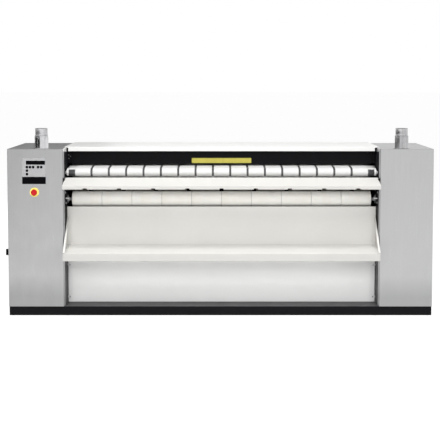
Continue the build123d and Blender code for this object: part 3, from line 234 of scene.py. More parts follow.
def lathe(name, rings, sides, hollow=False):
    """Turn a piece on the Z axis from (radius, height) rings; a hollow one ends on its first ring."""
    bpy.ops.object.select_all(action="DESELECT")
    radius, height = rings[0]
    bpy.ops.mesh.primitive_circle_add(vertices=sides, radius=radius, location=(0.0, 0.0, height),
                                      fill_type="NOTHING" if hollow else "NGON")
    piece = bpy.context.object
    piece.name = name
    settled(piece)
    bpy.ops.object.mode_set(mode="EDIT")
    bpy.ops.mesh.select_mode(type="EDGE" if hollow else "FACE")
    bpy.ops.mesh.select_all(action="SELECT")
    for next_radius, next_height in rings[1:]:
        rise = {"value": (0.0, 0.0, next_height - height)}
        if hollow:
            bpy.ops.mesh.extrude_edges_move(TRANSFORM_OT_translate=rise)
        else:
            bpy.ops.mesh.extrude_region_move(TRANSFORM_OT_translate=rise)
        growth = next_radius / radius
        bpy.ops.transform.resize(value=(growth, growth, 1.0), center_override=(0.0, 0.0, next_height))
        radius, height = next_radius, next_height
    bpy.ops.mesh.select_all(action="SELECT")
    bpy.ops.mesh.remove_doubles(threshold=0.000001)
    bpy.ops.mesh.normals_make_consistent(inside=False)
    close_edit()
    return smooth(piece)


def bent_strip(name, path, x0, x1, thickness):
    """A strip of sheet between two places along X, bent along (y, z) points."""
    bpy.ops.object.select_all(action="DESELECT")
    bpy.ops.mesh.primitive_grid_add(x_subdivisions=1, y_subdivisions=len(path) - 1, size=1.0)
    piece = bpy.context.object
    piece.name = name
    for vertex in piece.data.vertices:
        step = round((vertex.co.y + 0.5) * (len(path) - 1))
        vertex.co = (x0 if vertex.co.x < 0 else x1, *path[step])
    alone(piece)
    bpy.ops.object.modifier_add(type="SOLIDIFY")
    piece.modifiers[-1].thickness = thickness
    piece.modifiers[-1].offset = 1.0
    bpy.ops.object.modifier_apply(modifier=piece.modifiers[-1].name)
    return rounded(piece, thickness * 0.25)


FACING = {
    "up": Matrix.Identity(4),
    "front": Matrix.Rotation(radians(90.0), 4, "X"),
    "back": Matrix.Rotation(radians(-90.0), 4, "X"),
    "left": Matrix.Rotation(radians(-90.0), 4, "Y"),
    "right": Matrix.Rotation(radians(90.0), 4, "Y"),
}


def seat(place, facing, turn=0.0):
    """Where a pattern that stands on the origin goes, which way it faces and its turn in radians.

    Screws and bolts take a number of their place as their turn, so that each stands its own way.
    """
    spin = Matrix.Rotation(turn, 4, "Z")
    return Matrix.Translation(Vector(place)) @ FACING[facing] @ spin


def moved(piece, matrix):
    """Move a piece's mesh."""
    piece.data.transform(matrix)
    return piece


def fastener(name, radius, height, sides, sunk=False):
    """A screw's or bolt's head on the origin: a rounded head, sunk in the middle when asked."""
    piece = rod(name, "Z", radius, (0.0, 0.0, 0.0), (0.0, 0.0, height), sides)
    open_faces(piece, lambda centre, normal: normal.z > 0.9)
    bpy.ops.mesh.inset(thickness=radius * 0.45)
    depth = -height * 0.5 if sunk else height * 0.12
    bpy.ops.mesh.extrude_region_move(TRANSFORM_OT_translate={"value": (0.0, 0.0, depth)})
    close_edit()
    return rounded(piece, height * 0.16)


def joined(name, parts):
    """Make one piece of several."""
    bpy.ops.object.select_all(action="DESELECT")
    for part in parts:
        part.select_set(True)
    bpy.context.view_layer.objects.active = parts[0]
    bpy.ops.object.join()
    parts[0].name = name
    return parts[0]


def copy_at(piece, name, matrix):
    """A copy of a piece with a mesh of its own, moved by a matrix."""
    mesh = piece.data.copy()
    mesh.transform(matrix)
    twin = bpy.data.objects.new(name, mesh)
    bpy.context.scene.collection.objects.link(twin)
    return twin


def spread(piece, name, matrices):
    """Copy a modelled piece to several places and join the copies; the pattern itself goes."""
    twins = [copy_at(piece, name, matrix) for matrix in matrices]
    bpy.data.objects.remove(piece)
    return joined(name, twins)


def dressed(name, width, segments=2):
    """A copy of a frame node with its triangles merged, its flat faces whole and its edges rounded."""
    piece = bpy.data.objects.new(name + "_finished", frame["nodes"][name].data.copy())
    bpy.context.scene.collection.objects.link(piece)
    alone(piece)
    if piece.data.has_custom_normals:
        bpy.ops.mesh.customdata_custom_splitnormals_clear()
    bpy.ops.object.mode_set(mode="EDIT")
    bpy.ops.mesh.select_all(action="SELECT")
    bpy.ops.mesh.remove_doubles(threshold=0.00001)
    bpy.ops.mesh.dissolve_limited(angle_limit=radians(0.5))
    close_edit()
    return rounded(piece, width, segments)


def finish(piece, material, body, slot, *nodes):
    """Give a piece its finish, the body that it rides on and the frame nodes it stands for."""
    piece.data.materials.clear()
    piece.data.materials.append(material)
    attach(piece, body)
    if nodes:
        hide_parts(*nodes)
    return piece


def repaint(name, material):
    """Give a frame node that stays as it is its finish."""
    mesh = frame["nodes"][name].data
    mesh.materials.clear()
    mesh.materials.append(material)


def axle(name):
    """Middle (y, z) and radius of a round node that lies along X."""
    low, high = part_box(name)
    return (low.y + high.y) / 2, (low.z + high.z) / 2, (high.y - low.y) / 2


def on_wall(wall, inwards, y, z, stand=0.0, turn=0.0):
    """Where a pattern goes that stands on a side frame's inner face."""
    return seat((wall + inwards * stand, y, z), "right" if inwards > 0 else "left", turn)


def beside(wall, inwards, start, stop):
    """Two places along X, in order, at two distances inwards from a side frame's face."""
    return sorted((wall + inwards * start, wall + inwards * stop))


# ---------------------------------------------------------------- finishes

def blank_finish(name, metallic, roughness, **sockets):
    """A material whose shader has its constants set; names of sockets use _ for a space."""
    material = bpy.data.materials.new(name)
    material.use_nodes = True
    shader = material.node_tree.nodes["Principled BSDF"]
    shader.inputs["Metallic"].default_value = metallic
    shader.inputs["Roughness"].default_value = roughness
    for socket, value in sockets.items():
        shader.inputs[socket.replace("_", " ")].default_value = value
    return material


def node(material, kind, **inputs):
    """A shader node with some of its inputs set."""
    made = material.node_tree.nodes.new(kind)
    for name, value in inputs.items():
        made.inputs[name].default_value = value
    return made


def wire(material, source, target):
    """Connect an output to an input."""
    material.node_tree.links.new(source, target)


def coordinates(material, scale=(1.0, 1.0, 1.0), kind="Object", turn=(0.0, 0.0, 0.0)):
    """Pattern coordinates on the piece, stretched by a scale on each axis."""
    source = node(material, "ShaderNodeTexCoord")
    mapping = node(material, "ShaderNodeMapping", Scale=scale, Rotation=turn)
    wire(material, source.outputs[kind], mapping.inputs["Vector"])
    return mapping.outputs["Vector"]


def noise(material, vector, scale, detail=4.0, roughness=0.55):
    """Cloudy noise between 0 and 1."""
    made = node(material, "ShaderNodeTexNoise", Scale=scale, Detail=detail, Roughness=roughness)
    wire(material, vector, made.inputs["Vector"])
    return made.outputs["Fac"]


def cells(material, vector, scale):
    """Cell pattern: distance to the nearest cell's middle, and a random colour for each cell."""
    made = node(material, "ShaderNodeTexVoronoi", Scale=scale)
    wire(material, vector, made.inputs["Vector"])
    return made.outputs["Distance"], made.outputs["Color"]


def ridges(material, vector, scale, direction, distortion=0.0):
    """Even ridges across one axis."""
    made = node(material, "ShaderNodeTexWave", Scale=scale, Distortion=distortion)
    made.bands_direction = direction
    wire(material, vector, made.inputs["Vector"])
    return made.outputs["Fac"]


def levels(material, value, low, high, start=0.3, stop=0.7):
    """Turn a pattern between start and stop into a value between low and high."""
    made = node(material, "ShaderNodeMapRange", **{"From Min": start, "From Max": stop,
                                                   "To Min": low, "To Max": high})
    wire(material, value, made.inputs["Value"])
    return made.outputs["Result"]


def blend(material, factor, first, second):
    """Mix two colours, each a tuple or an output, by a pattern."""
    made = node(material, "ShaderNodeMix")
    made.data_type = "RGBA"
    wire(material, factor, made.inputs[0])
    for value, socket in ((first, made.inputs[6]), (second, made.inputs[7])):
        if isinstance(value, bpy.types.NodeSocket):
            wire(material, value, socket)
        else:
            socket.default_value = (*value, 1.0)
    return made.outputs[2]


def combine(material, operation, first, second):
    """Arithmetic on two patterns; the second may be a number."""
    made = material.node_tree.nodes.new("ShaderNodeMath")
    made.operation = operation
    for value, socket in ((first, made.inputs[0]), (second, made.inputs[1])):
        if isinstance(value, bpy.types.NodeSocket):
            wire(material, value, socket)
        else:
            socket.default_value = value
    return made.outputs["Value"]


def shade(tint, share):
    """A tint made darker or lighter."""
    return tuple(min(1.0, channel * share) for channel in tint)


def above_floor(material):
    """Height over the floor in metres."""
    parts = material.node_tree.nodes.new("ShaderNodeSeparateXYZ")
    wire(material, coordinates(material), parts.inputs["Vector"])
    return parts.outputs["Z"]


def set_colour(material, output):
    """Drive the shader's base colour."""
    wire(material, output, material.node_tree.nodes["Principled BSDF"].inputs["Base Color"])


def set_roughness(material, output):
    """Drive the shader's roughness."""
    wire(material, output, material.node_tree.nodes["Principled BSDF"].inputs["Roughness"])


def raise_surface(material, relief, distance, strength):
    """Add a relief to the surface, over any relief that it already has."""
    shader = material.node_tree.nodes["Principled BSDF"]
    bump = node(material, "ShaderNodeBump", Strength=strength, Distance=distance)
    wire(material, relief, bump.inputs["Height"])
    normal = shader.inputs["Normal"]
    if normal.is_linked:
        wire(material, normal.links[0].from_socket, bump.inputs["Normal"])
    wire(material, bump.outputs["Normal"], normal)


FINISHES = {}


def brushed(name, tint, grain, roughness=0.36):
    """Brushed sheet: fine scratches, faint clouds and marks, and a painted reflection that makes it
    darker near the floor.
    """
    along, across = 6.0, 900.0
    reflection_dark_under, reflection_clear_over = 0.13, 0.27
    material = blank_finish(name, 1.0, roughness)
    scale = [along if axis == grain else across for axis in "XYZ"]
    scratches = noise(material, coordinates(material, scale), 1.0, 5.0, 0.7)
    clouds = noise(material, coordinates(material), 2.2, 3.0)
    marks = noise(material, coordinates(material, (3.0, 3.0, 1.2)), 6.0, 6.0, 0.65)
    fine = blend(material, levels(material, scratches, 0.0, 1.0), shade(tint, 0.91), shade(tint, 1.06))
    soft = blend(material, levels(material, clouds, 0.0, 0.6), fine, shade(tint, 0.93))
    # Painted reflection: the colour turns darker towards the floor, standing in for the darker
    # surroundings that the steel mirrors there.
    reflection_edge_height = combine(material, "ADD", above_floor(material), levels(material, clouds, -0.02, 0.02))
    low = levels(material, reflection_edge_height, 1.0, 0.0, reflection_dark_under, reflection_clear_over)
    set_colour(material, blend(material, low, soft, shade(tint, 0.74)))
    worn = levels(material, marks, -0.05, 0.07, 0.35, 0.7)
    streaks = levels(material, scratches, roughness - 0.07, roughness + 0.09)
    set_roughness(material, combine(material, "ADD", streaks, worn))
    raise_surface(material, scratches, 0.00002, 0.5)
    raise_surface(material, clouds, 0.0006, 0.25)
    return material


def zinc(name, tint, roughness=0.2):
    """Hot-dipped zinc: spangles, dull patches, and upright dark streaks that are partly zinc runs and
    partly a painted reflection.
    """
    material = blank_finish(name, 1.0, roughness)
    middle, random_tint = cells(material, coordinates(material, (1.0, 1.0, 0.7)), 95.0)
    runs = noise(material, coordinates(material, (46.0, 46.0, 2.4)), 1.0, 5.0, 0.6)
    patches = noise(material, coordinates(material, (1.0, 1.0, 0.45)), 26.0, 4.0)
    grey = material.node_tree.nodes.new("ShaderNodeRGBToBW")
    wire(material, random_tint, grey.inputs["Color"])
    spangled = blend(material, grey.outputs["Val"], shade(tint, 0.93), shade(tint, 1.06))
    # The upright dark streaks are partly zinc runs and partly a painted reflection of dark surroundings
    # on the pipe.
    streaked = blend(material, levels(material, runs, 0.0, 0.6, 0.42, 0.66), spangled,
                     shade(tint, 0.62))
    set_colour(material, blend(material, levels(material, patches, 0.0, 0.7, 0.5, 0.72), streaked,
                               shade(tint, 1.35)))
    set_roughness(material, levels(material, patches, roughness - 0.03, roughness + 0.1))
    raise_surface(material, middle, 0.0002, 0.15)
    raise_surface(material, runs, 0.0004, 0.15)
    return material


def enamel(name, tint, roughness=0.34, dust=0.05, shine=0.5):
    """Stove enamel on sheet: orange peel, slight unevenness and a little dust."""
    material = blank_finish(name, 0.0, roughness, Specular_IOR_Level=shine)
    peel = noise(material, coordinates(material), 420.0, 2.0)
    clouds = noise(material, coordinates(material), 3.0, 4.0)
    specks = noise(material, coordinates(material), 900.0, 2.0, 0.8)
    wear = noise(material, coordinates(material, (1.0, 1.0, 2.5)), 9.0, 6.0, 0.7)
    base = blend(material, levels(material, clouds, 0.0, 1.0), shade(tint, 0.975), shade(tint, 1.015))
    dust_grey = 0.45
    dusty = tuple(channel * (1.0 - dust) + dust_grey * dust for channel in tint)
    spotted = blend(material, levels(material, specks, 0.0, 0.35, 0.6, 0.75), base, dusty)
    set_colour(material, blend(material, levels(material, wear, 0.0, 0.5, 0.5, 0.8), spotted, dusty))
    set_roughness(material, levels(material, wear, roughness - 0.05, roughness + 0.12))
    raise_surface(material, peel, 0.00006, 0.35)
    raise_surface(material, clouds, 0.0012, 0.15)
    return material


def turned(name, tint, roughness, knurled=False):
    """Turned steel: rings round the bar, or a crossed knurl."""
    material = blank_finish(name, 1.0, roughness)
    rings = noise(material, coordinates(material, (1500.0, 8.0, 8.0)), 1.0, 4.0, 0.7)
    stains = noise(material, coordinates(material), 14.0, 5.0)
    base = blend(material, levels(material, rings, 0.0, 1.0), shade(tint, 0.80), shade(tint, 1.10))
    set_colour(material, blend(material, levels(material, stains, 0.0, 0.5), base, shade(tint, 0.75)))
    set_roughness(material, levels(material, stains, roughness - 0.06, roughness + 0.12))
    raise_surface(material, rings, 0.00003, 0.5)
    if knurled:
        for turn in (radians(30.0), radians(-30.0)):
            cross = ridges(material, coordinates(material, turn=(0.0, turn, 0.0)), 150.0, "X")
            raise_surface(material, cross, 0.0005, 0.8)
    return material


def cast(name, tint, roughness=0.55):
    """Painted casting or oily steel: rough skin, dark hollows and grease."""
    material = blank_finish(name, 0.25, roughness)
    skin = noise(material, coordinates(material), 260.0, 5.0, 0.65)
    grease = noise(material, coordinates(material), 22.0, 4.0)
    base = blend(material, levels(material, skin, 0.0, 1.0), shade(tint, 0.75), shade(tint, 1.2))
    set_colour(material, blend(material, levels(material, grease, 0.0, 0.6, 0.45, 0.7), base,
                               shade(tint, 0.45)))
    set_roughness(material, levels(material, grease, roughness + 0.08, roughness - 0.18))
    raise_surface(material, skin, 0.00025, 0.4)
    return material


def plastic(name, tint, roughness=0.42, shine=0.3):
    """Moulded plastic: a fine even grain and faint flow lines."""
    material = blank_finish(name, 0.0, roughness, Specular_IOR_Level=shine)
    grain = noise(material, coordinates(material), 1400.0, 2.0)
    flow = noise(material, coordinates(material, (1.0, 1.0, 0.3)), 30.0, 3.0)
    set_colour(material, blend(material, levels(material, flow, 0.0, 1.0), shade(tint, 0.92),
                               shade(tint, 1.06)))
    set_roughness(material, levels(material, flow, roughness - 0.04, roughness + 0.06))
    raise_surface(material, grain, 0.00004, 0.4)
    return material


def felt(name, tint):
    """Needled felt: matted fibres, a faint cross weave, scorched and worn lanes."""
    scorched = (tint[0] * 0.90, tint[1] * 0.875, tint[2] * 0.80)
    material = blank_finish(name, 0.0, 0.92, Sheen_Weight=0.25, Sheen_Roughness=0.6)
    along = coordinates(material, kind="UV")
    fibres = noise(material, coordinates(material, (1.0, 0.35, 1.0), "UV"), 2600.0, 5.0, 0.75)
    weave = ridges(material, along, 130.0, "X", 1.5)
    cross = ridges(material, along, 90.0, "Y", 1.2)
    worn = noise(material, coordinates(material, (14.0, 1.6, 1.0), "UV"), 1.0, 4.0)
    base = blend(material, levels(material, fibres, 0.0, 1.0), shade(tint, 0.88), shade(tint, 1.06))
    set_colour(material, blend(material, levels(material, worn, 0.0, 0.45, 0.45, 0.75), base, scorched))
    raise_surface(material, combine(material, "ADD", weave, cross), 0.00018, 0.5)
    raise_surface(material, fibres, 0.0003, 0.6)
    return material


def webbing(name, tint):
    """Woven cotton webbing: a plain weave in relief with darker hollows."""
    soiled = (tint[0] * 0.90, tint[1] * 0.89, tint[2] * 0.85)
    material = blank_finish(name, 0.0, 0.85, Sheen_Weight=0.2, Sheen_Roughness=0.5)
    along = coordinates(material, kind="UV")
    warp = ridges(material, along, 260.0, "X")
    weft = ridges(material, along, 210.0, "Y")
    weave = combine(material, "MULTIPLY", warp, weft)
    lint = noise(material, along, 1800.0, 4.0, 0.7)
    grime = noise(material, coordinates(material, (9.0, 1.2, 1.0), "UV"), 1.0, 4.0)
    base = blend(material, weave, shade(tint, 0.86), shade(tint, 1.04))
    set_colour(material, blend(material, levels(material, grime, 0.0, 0.5, 0.5, 0.8), base, soiled))
    raise_surface(material, weave, 0.0004, 0.6)
    raise_surface(material, lint, 0.0001, 0.4)
    return material


def make_finishes():
    """Every material of the machine: those of the record's slots under the slot's name, and others."""
    tints = colours()
    white = tuple(tints.white)
    black = tuple(tints.black)
    steel = tuple(tints.stainless)
    FINISHES.update({
        "stainless_brushed": brushed("stainless_upright", steel, "Z"),
        "stainless_side": brushed("stainless_upright_side", steel, "Z", 0.4),
        # Painted shade: the cabinet tops take a darker copy of the stainless, for how the light falls
        # on them.
        "stainless_top_shaded": brushed("stainless_lengthways_shaded", shade(steel, 0.80), "Y"),
        "galvanised_steel": zinc("zinc_spangled", tuple(tints.galvanised)),
        "dull_zinc": zinc("zinc_dull", shade(tints.galvanised, 0.90), 0.44),
        # A darker copy of the zinc, for the right flue pipe and collar.
        "darker_zinc": zinc("zinc_darker", shade(tints.galvanised, 0.72), 0.28),
        "white_paint": enamel("enamel_white", white),
        "ivory_paint": enamel("enamel_ivory", tuple(tints.ivory), 0.38),
        # Painted light: lighter than the covers' white enamel, to make up for the shade under the tray.
        "panel_paint": enamel("enamel_panel_lit", tuple(tints.panel), 0.4),
        # Painted shade: a darker copy of the ivory for the front faces of the table's and tray's lips.
        "lip_shaded_paint": enamel("enamel_lip_shaded", shade(tints.ivory, 0.757), 0.4),
        "black_paint": enamel("enamel_black", black, 0.42, 0.01, 0.06),
        "frame_steel": enamel("frame_dark", shade(black, 1.6), 0.5, 0.02, 0.08),
        "polished_steel": turned("drum_polished", (0.62, 0.62, 0.62), 0.16),
        "turned_steel": turned("roller_turned", (0.46, 0.46, 0.47), 0.32),
        "knurled_steel": turned("roller_knurled", (0.17, 0.17, 0.175), 0.42, True),
        "cast_housing": cast("bearing_cast", (0.055, 0.06, 0.065)),
        "chain_steel": cast("chain_oiled", (0.15, 0.14, 0.13), 0.4),
        "motor_paint": cast("motor_enamel", (0.08, 0.12, 0.18), 0.45),
        "ironing_felt": felt("felt_needled", tuple(tints.felt)),
        "feed_cotton": webbing("cotton_webbing", tuple(tints.cotton)),
        "soot": enamel("soot_dull", (0.03, 0.03, 0.03), 0.8, 0.02, 0.05),
        "plate_paint": enamel("plate_dusty", (0.080, 0.080, 0.082), 0.5, 0.08, 0.15),
        "black_plastic": plastic("plastic_black", (0.012, 0.012, 0.013), 0.45, 0.12),
        "button_plastic": plastic("button_black", (0.003, 0.003, 0.0035), 0.5, 0.02),
        "grey_plastic": plastic("plastic_grey", (0.28, 0.29, 0.30)),
        # Painted highlight: the pale rings and pin stand in for bright glints on the steel shafts.
        "pale_highlight": plastic("bush_painted_highlight", (0.72, 0.72, 0.71), 0.35, 0.4),
        "fascia_film": plastic("film_grey", tuple(tints.film), 0.38, 0.3),
        "display_glass": plastic("window_dark", (0.003, 0.003, 0.0035), 0.3, 0.01),
        "estop_yellow": plastic("plastic_yellow", tuple(tints.yellow), 0.4, 0.25),
        "estop_red": plastic("plastic_red", tuple(tints.red), 0.34, 0.2),
        "guard_yellow": plastic("plastic_strip", tuple(tints.strip), 0.5, 0.15),
        "foot_rubber": plastic("foot_black", (0.012, 0.012, 0.012), 0.7, 0.1),
        "element_sheath": turned("rod_heat_tinted", (0.24, 0.20, 0.17), 0.4),
        "screw_steel": turned("screw_plated", (0.60, 0.60, 0.61), 0.3),
        "dull_screw": turned("screw_dull", (0.22, 0.22, 0.23), 0.42),
        "feed_steel": turned("roller_dark", (0.16, 0.16, 0.165), 0.40),
    })


# ---------------------------------------------------------------- bands

def belt_samples(pulleys):
    """Points and outward directions along a closed belt round (y, z, signed radius) pulleys.

    A pulley inside the loop has a positive radius, one that presses from outside a negative one.
    """
    arc_step, span_step = radians(5.0), 0.05
    count = len(pulleys)
    headings = []
    for index, (y, z, radius) in enumerate(pulleys):
        next_y, next_z, next_radius = pulleys[(index + 1) % count]
        distance = hypot(next_y - y, next_z - z)
        headings.append(atan2(next_z - z, next_y - y) + asin((radius - next_radius) / distance))
    samples = []
    for index, (y, z, radius) in enumerate(pulleys):
        arrive, leave = headings[index - 1], headings[index]
        turn = (leave - arrive) % (2 * pi)
        if radius < 0:
            turn -= 2 * pi
        steps = max(2, ceil(abs(turn) / arc_step))
        for step in range(steps + 1):
            heading = arrive + turn * step / steps
            out = Vector((0.0, sin(heading), -cos(heading)))
            samples.append((Vector((0.0, y, z)) + out * radius, out))
        after_y, after_z, after_radius = pulleys[(index + 1) % count]
        out = samples[-1][1]
        here, there = samples[-1][0], Vector((0.0, after_y, after_z)) + out * after_radius
        spans = max(1, ceil((there - here).length / span_step))
        for span in range(1, spans):
            samples.append((here.lerp(there, span / spans), out))
    return samples


def belt(name, pulleys, x0, width, thickness):
    """One endless band with rounded edges, its UV map in metres across and along the band."""
    samples = belt_samples(pulleys)
    edge = thickness * 0.3
    section = [(0.0, thickness - edge), (0.0, edge), (edge, 0.0), (width - edge, 0.0),
               (width, edge), (width, thickness - edge), (width - edge, thickness),
               (edge, thickness)]
    points, faces, run = [], [], [0.0]
    for index, (point, out) in enumerate(samples):
        for across, rise in section:
            points.append(point + out * rise + Vector((x0 + across, 0.0, 0.0)))
        following = samples[(index + 1) % len(samples)][0]
        run.append(run[-1] + (following - point).length)
    count, around = len(samples), len(section)
    for index in range(count):
        after = (index + 1) % count
        for corner in range(around):
            next_corner = (corner + 1) % around
            faces.append((index * around + corner, index * around + next_corner,
                          after * around + next_corner, after * around + corner))
    mesh = bpy.data.meshes.new(name)
    mesh.from_pydata(points, [], faces)
    layer = mesh.uv_layers.new(name="band")
    for face in mesh.polygons:
        index, corner = divmod(face.index, around)
        start, stop = section[corner][0], section[(corner + 1) % around][0]
        across = (start, stop, stop, start)
        along = (run[index], run[index], run[index + 1], run[index + 1])
        for loop, u, v in zip(face.loop_indices, across, along):
            layer.data[loop].uv = (u, v)
    piece = bpy.data.objects.new(name, mesh)
    bpy.context.scene.collection.objects.link(piece)
    alone(piece)
    bpy.ops.object.mode_set(mode="EDIT")
    bpy.ops.mesh.select_all(action="SELECT")
    bpy.ops.mesh.normals_make_consistent(inside=False)
    close_edit()
    smooth(piece, 40.0)
    return piece, run[-1]


def band_row(node_name, label, pulleys, count, gap, thickness, slot):
    """A row of equal bands in the space of a frame node."""
    pattern_step = 0.37
    low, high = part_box(node_name)
    pitch = (high.x - low.x + gap) / count
    first, run = belt(label + "_1", pulleys, low.x, pitch - gap, thickness)
    for index in range(count):
        piece = first
        if index:
            shift = index * pitch
            piece = copy_at(first, label + "_" + str(index + 1), Matrix.Translation((shift, 0.0, 0.0)))
            for place in piece.data.uv_layers[0].data:
                place.uv = (place.uv[0] + shift, place.uv[1] + index * pattern_step)
        stands_for = [] if index else [node_name]
        finish(piece, FINISHES[slot], "root", slot, *stands_for)


class IRONER_OT_ironing_bands(bpy.types.Operator):
    """Ten felt bands round the drum, the exit roller and their return rollers"""

    bl_idname = "ironer.ironing_bands"
    bl_label = "Ironing bands"

    def execute(self, context):
        clearance = sizes().band_clearance
        carriers = ["press_roller", "heated_cylinder", "exit_roller", "return_roller", "tension_roller"]
        pulleys = []
        for name in carriers:
            y, z, radius = axle(name)
            if name == "heated_cylinder":
                pulleys.append((y, z, -(radius + clearance + sizes().felt_thickness)))
            else:
                pulleys.append((y, z, radius + clearance))
        band_row("ironing_bands", "ironing_band", pulleys, sizes().ironing_bands,
                 sizes().ironing_gap, sizes().felt_thickness, "ironing_felt")
        return {"FINISHED"}


class IRONER_OT_feed_bands(bpy.types.Operator):
    """Seventeen webbing bands that carry the linen in"""

    bl_idname = "ironer.feed_bands"
    bl_label = "Feed bands"

    def execute(self, context):
        clearance = sizes().band_clearance
        carriers = ["feed_front_roller", "feed_rear_roller"]
        pulleys = []
        for name in carriers:
            y, z, radius = axle(name)
            pulleys.append((y, z, radius + clearance))
        band_row("feed_bands", "feed_band", pulleys, sizes().feed_bands, sizes().feed_gap,
                 sizes().cotton_thickness, "feed_cotton")
        return {"FINISHED"}


# ---------------------------------------------------------------- sheet metal

def dress_sheet(name, finish_name, slot, body="root"):
    """A frame node of cut or folded sheet, with rounded edges and its finish."""
    return finish(dressed(name, sizes().sheet_edge), FINISHES[finish_name], body, slot, name)


class IRONER_OT_cabinets(bpy.types.Operator):
    """Fronts, sides, tops and backs of both end cabinets, with the screws of their backs"""

    bl_idname = "ironer.cabinets"
    bl_label = "Cabinets"

    def execute(self, context):
        for side in ("left", "right"):
            dress_sheet(side + "_front_panel", "stainless_brushed", "stainless_brushed")
            dress_sheet(side + "_outer_panel", "stainless_side", "stainless_brushed")
            # The tops get the darker, shaded copy of the stainless: painted shade.
            dress_sheet(side + "_top_panel", "stainless_top_shaded", "stainless_brushed")
            dress_sheet(side + "_rear_panel", "stainless_brushed", "stainless_brushed")
            low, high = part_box(side + "_rear_panel")
            self.screws(side, low, high)
        return {"FINISHED"}

    def screws(self, side, low, high):
        """Three screws down each edge of a back."""
        margin, end = 0.012, 0.04
        rows = (low.z + end, (low.z + high.z) / 2, high.z - end)
        places = [(x, high.y, z) for x in (low.x + margin, high.x - margin) for z in rows]
        head = fastener("screw", sizes().screw_radius, sizes().screw_height, 20, True)
        row = spread(head, side + "_rear_screws", [seat(place, "back", place[2]) for place in places])
        finish(row, FINISHES["screw_steel"], "root", "screw_steel")


class IRONER_OT_covers(bpy.types.Operator):
    """Top cover, rear cover and lower front panel, with their screws"""

    bl_idname = "ironer.covers"
    bl_label = "Covers"

    def execute(self, context):
        dress_sheet("top_cover", "white_paint", "white_paint")
        dress_sheet("rear_cover", "white_paint", "white_paint")
        dress_sheet("lower_front_panel", "panel_paint", "panel_paint")
        self.rear_screws()
        self.panel_screws()
        return {"FINISHED"}

    def rear_screws(self):
        """Two rows of screws with washers along the rear cover."""
        low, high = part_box("rear_cover")
        count, margin = 7, 0.02
        step = (high.x - low.x - 2 * margin) / (count - 1)
        places = [(low.x + margin + index * step, high.y, z)
                  for index in range(count) for z in (low.z + margin, high.z - margin)]
        head = fastener("screw", sizes().screw_radius, sizes().screw_height, 20, True)
        washer = lathe("washer", [(0.0085, 0.0), (0.0085, 0.0006), (0.0078, 0.001)], 24)
        pattern = joined("rear_screw", [head, washer])
        row = spread(pattern, "rear_cover_screws", [seat(place, "back", place[0]) for place in places])
        finish(row, FINISHES["screw_steel"], "root", "screw_steel")

    def panel_screws(self):
        """The lower panel's four screws, in place of the plain ones of the frame."""
        low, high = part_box("panel_screws")
        radius = sizes().screw_radius
        shank_radius, shank_length, overlap = radius * 0.45, 0.012, 0.0002
        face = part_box("lower_front_panel")[0].y
        places = [(x, face, z) for x in (low.x + radius, high.x - radius)
                  for z in (low.z + radius, high.z - radius)]
        head = fastener("screw", radius, sizes().screw_height, 24, True)
        shank = rod("shank", "Z", shank_radius, (0.0, 0.0, -shank_length), (0.0, 0.0, overlap), 16)
        pattern = joined("panel_screw", [head, shank])
        row = spread(pattern, "lower_panel_screws",
                     [seat(place, "front", place[2]) for place in places])
        finish(row, FINISHES["screw_steel"], "root", "screw_steel", "panel_screws")


class IRONER_OT_side_cover(bpy.types.Operator):
    """Raised service cover on the left side with its round latch"""

    bl_idname = "ironer.side_cover"
    bl_label = "Service cover"

    def execute(self, context):
        dress_sheet("side_service_cover", "stainless_side", "stainless_brushed")
        low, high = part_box("side_service_cover")
        latch_rise, recess, turn = 0.023, 0.002, 0.6
        outer, inner, proud, bit_height = 0.0125, 0.009, 0.0018, 0.0014
        key_length, key_width, key_height = 0.012, 0.0022, 0.0017
        ring = lathe("latch_ring", [
            (outer, 0.0), (outer, 0.0012), (outer - 0.001, proud), (inner + 0.0005, proud),
            (inner, 0.0004), (inner, 0.0), (outer, 0.0)], 40, True)
        bit = fastener("latch_bit", inner - 0.0005, bit_height, 40, True)
        key = slab("latch_key", (-key_length / 2, -key_width / 2, 0.0),
                   (key_length / 2, key_width / 2, key_height))
        rounded(key, 0.0002)
        latch = joined("latch_detail", [ring, bit, key])
        moved(latch, seat((low.x + recess, (low.y + high.y) / 2, low.z + latch_rise), "left", turn))
        finish(latch, FINISHES["screw_steel"], "root", "stainless_brushed")
        return {"FINISHED"}


class IRONER_OT_table_and_tray(bpy.types.Operator):
    """Feed table with its notched lip and end bumpers, and the tray with its cheeks"""

    bl_idname = "ironer.table_and_tray"
    bl_label = "Table and tray"

    def execute(self, context):
        lip_depth = 0.006
        for name in ("feed_table", "collector_tray"):
            folded = dress_sheet(name, "ivory_paint", "white_paint")
            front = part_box(name)[0].y
            # The front faces of both lips get the darker copy of the ivory: painted shade.
            folded.data.materials.append(FINISHES["lip_shaded_paint"])
            for face in folded.data.polygons:
                if face.normal.y < -0.7 and face.center.y < front + lip_depth:
                    face.material_index = 1
        self.bumpers()
        return {"FINISHED"}

    def bumpers(self):
        """A rounded rubber buffer over each end of the table, in front of the side frame's edge."""
        outwards, inside, reach, gap = 0.0045, 0.0065, 0.027, 0.0015
        drop, tall, rounding = 0.026, 0.028, 0.0042
        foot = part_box("feed_table")[1].z - drop
        pads = []
        for wall, inwards in WALLS:
            x0, x1 = beside(wall, inwards, -outwards, inside)
            pad = slab("pad", (x0, FRAME_FRONT - reach, foot), (x1, FRAME_FRONT - gap, foot + tall))
            pads.append(rounded(pad, rounding, 4))
        finish(joined("table_bumpers", pads), FINISHES["foot_rubber"], "root", "foot_rubber")


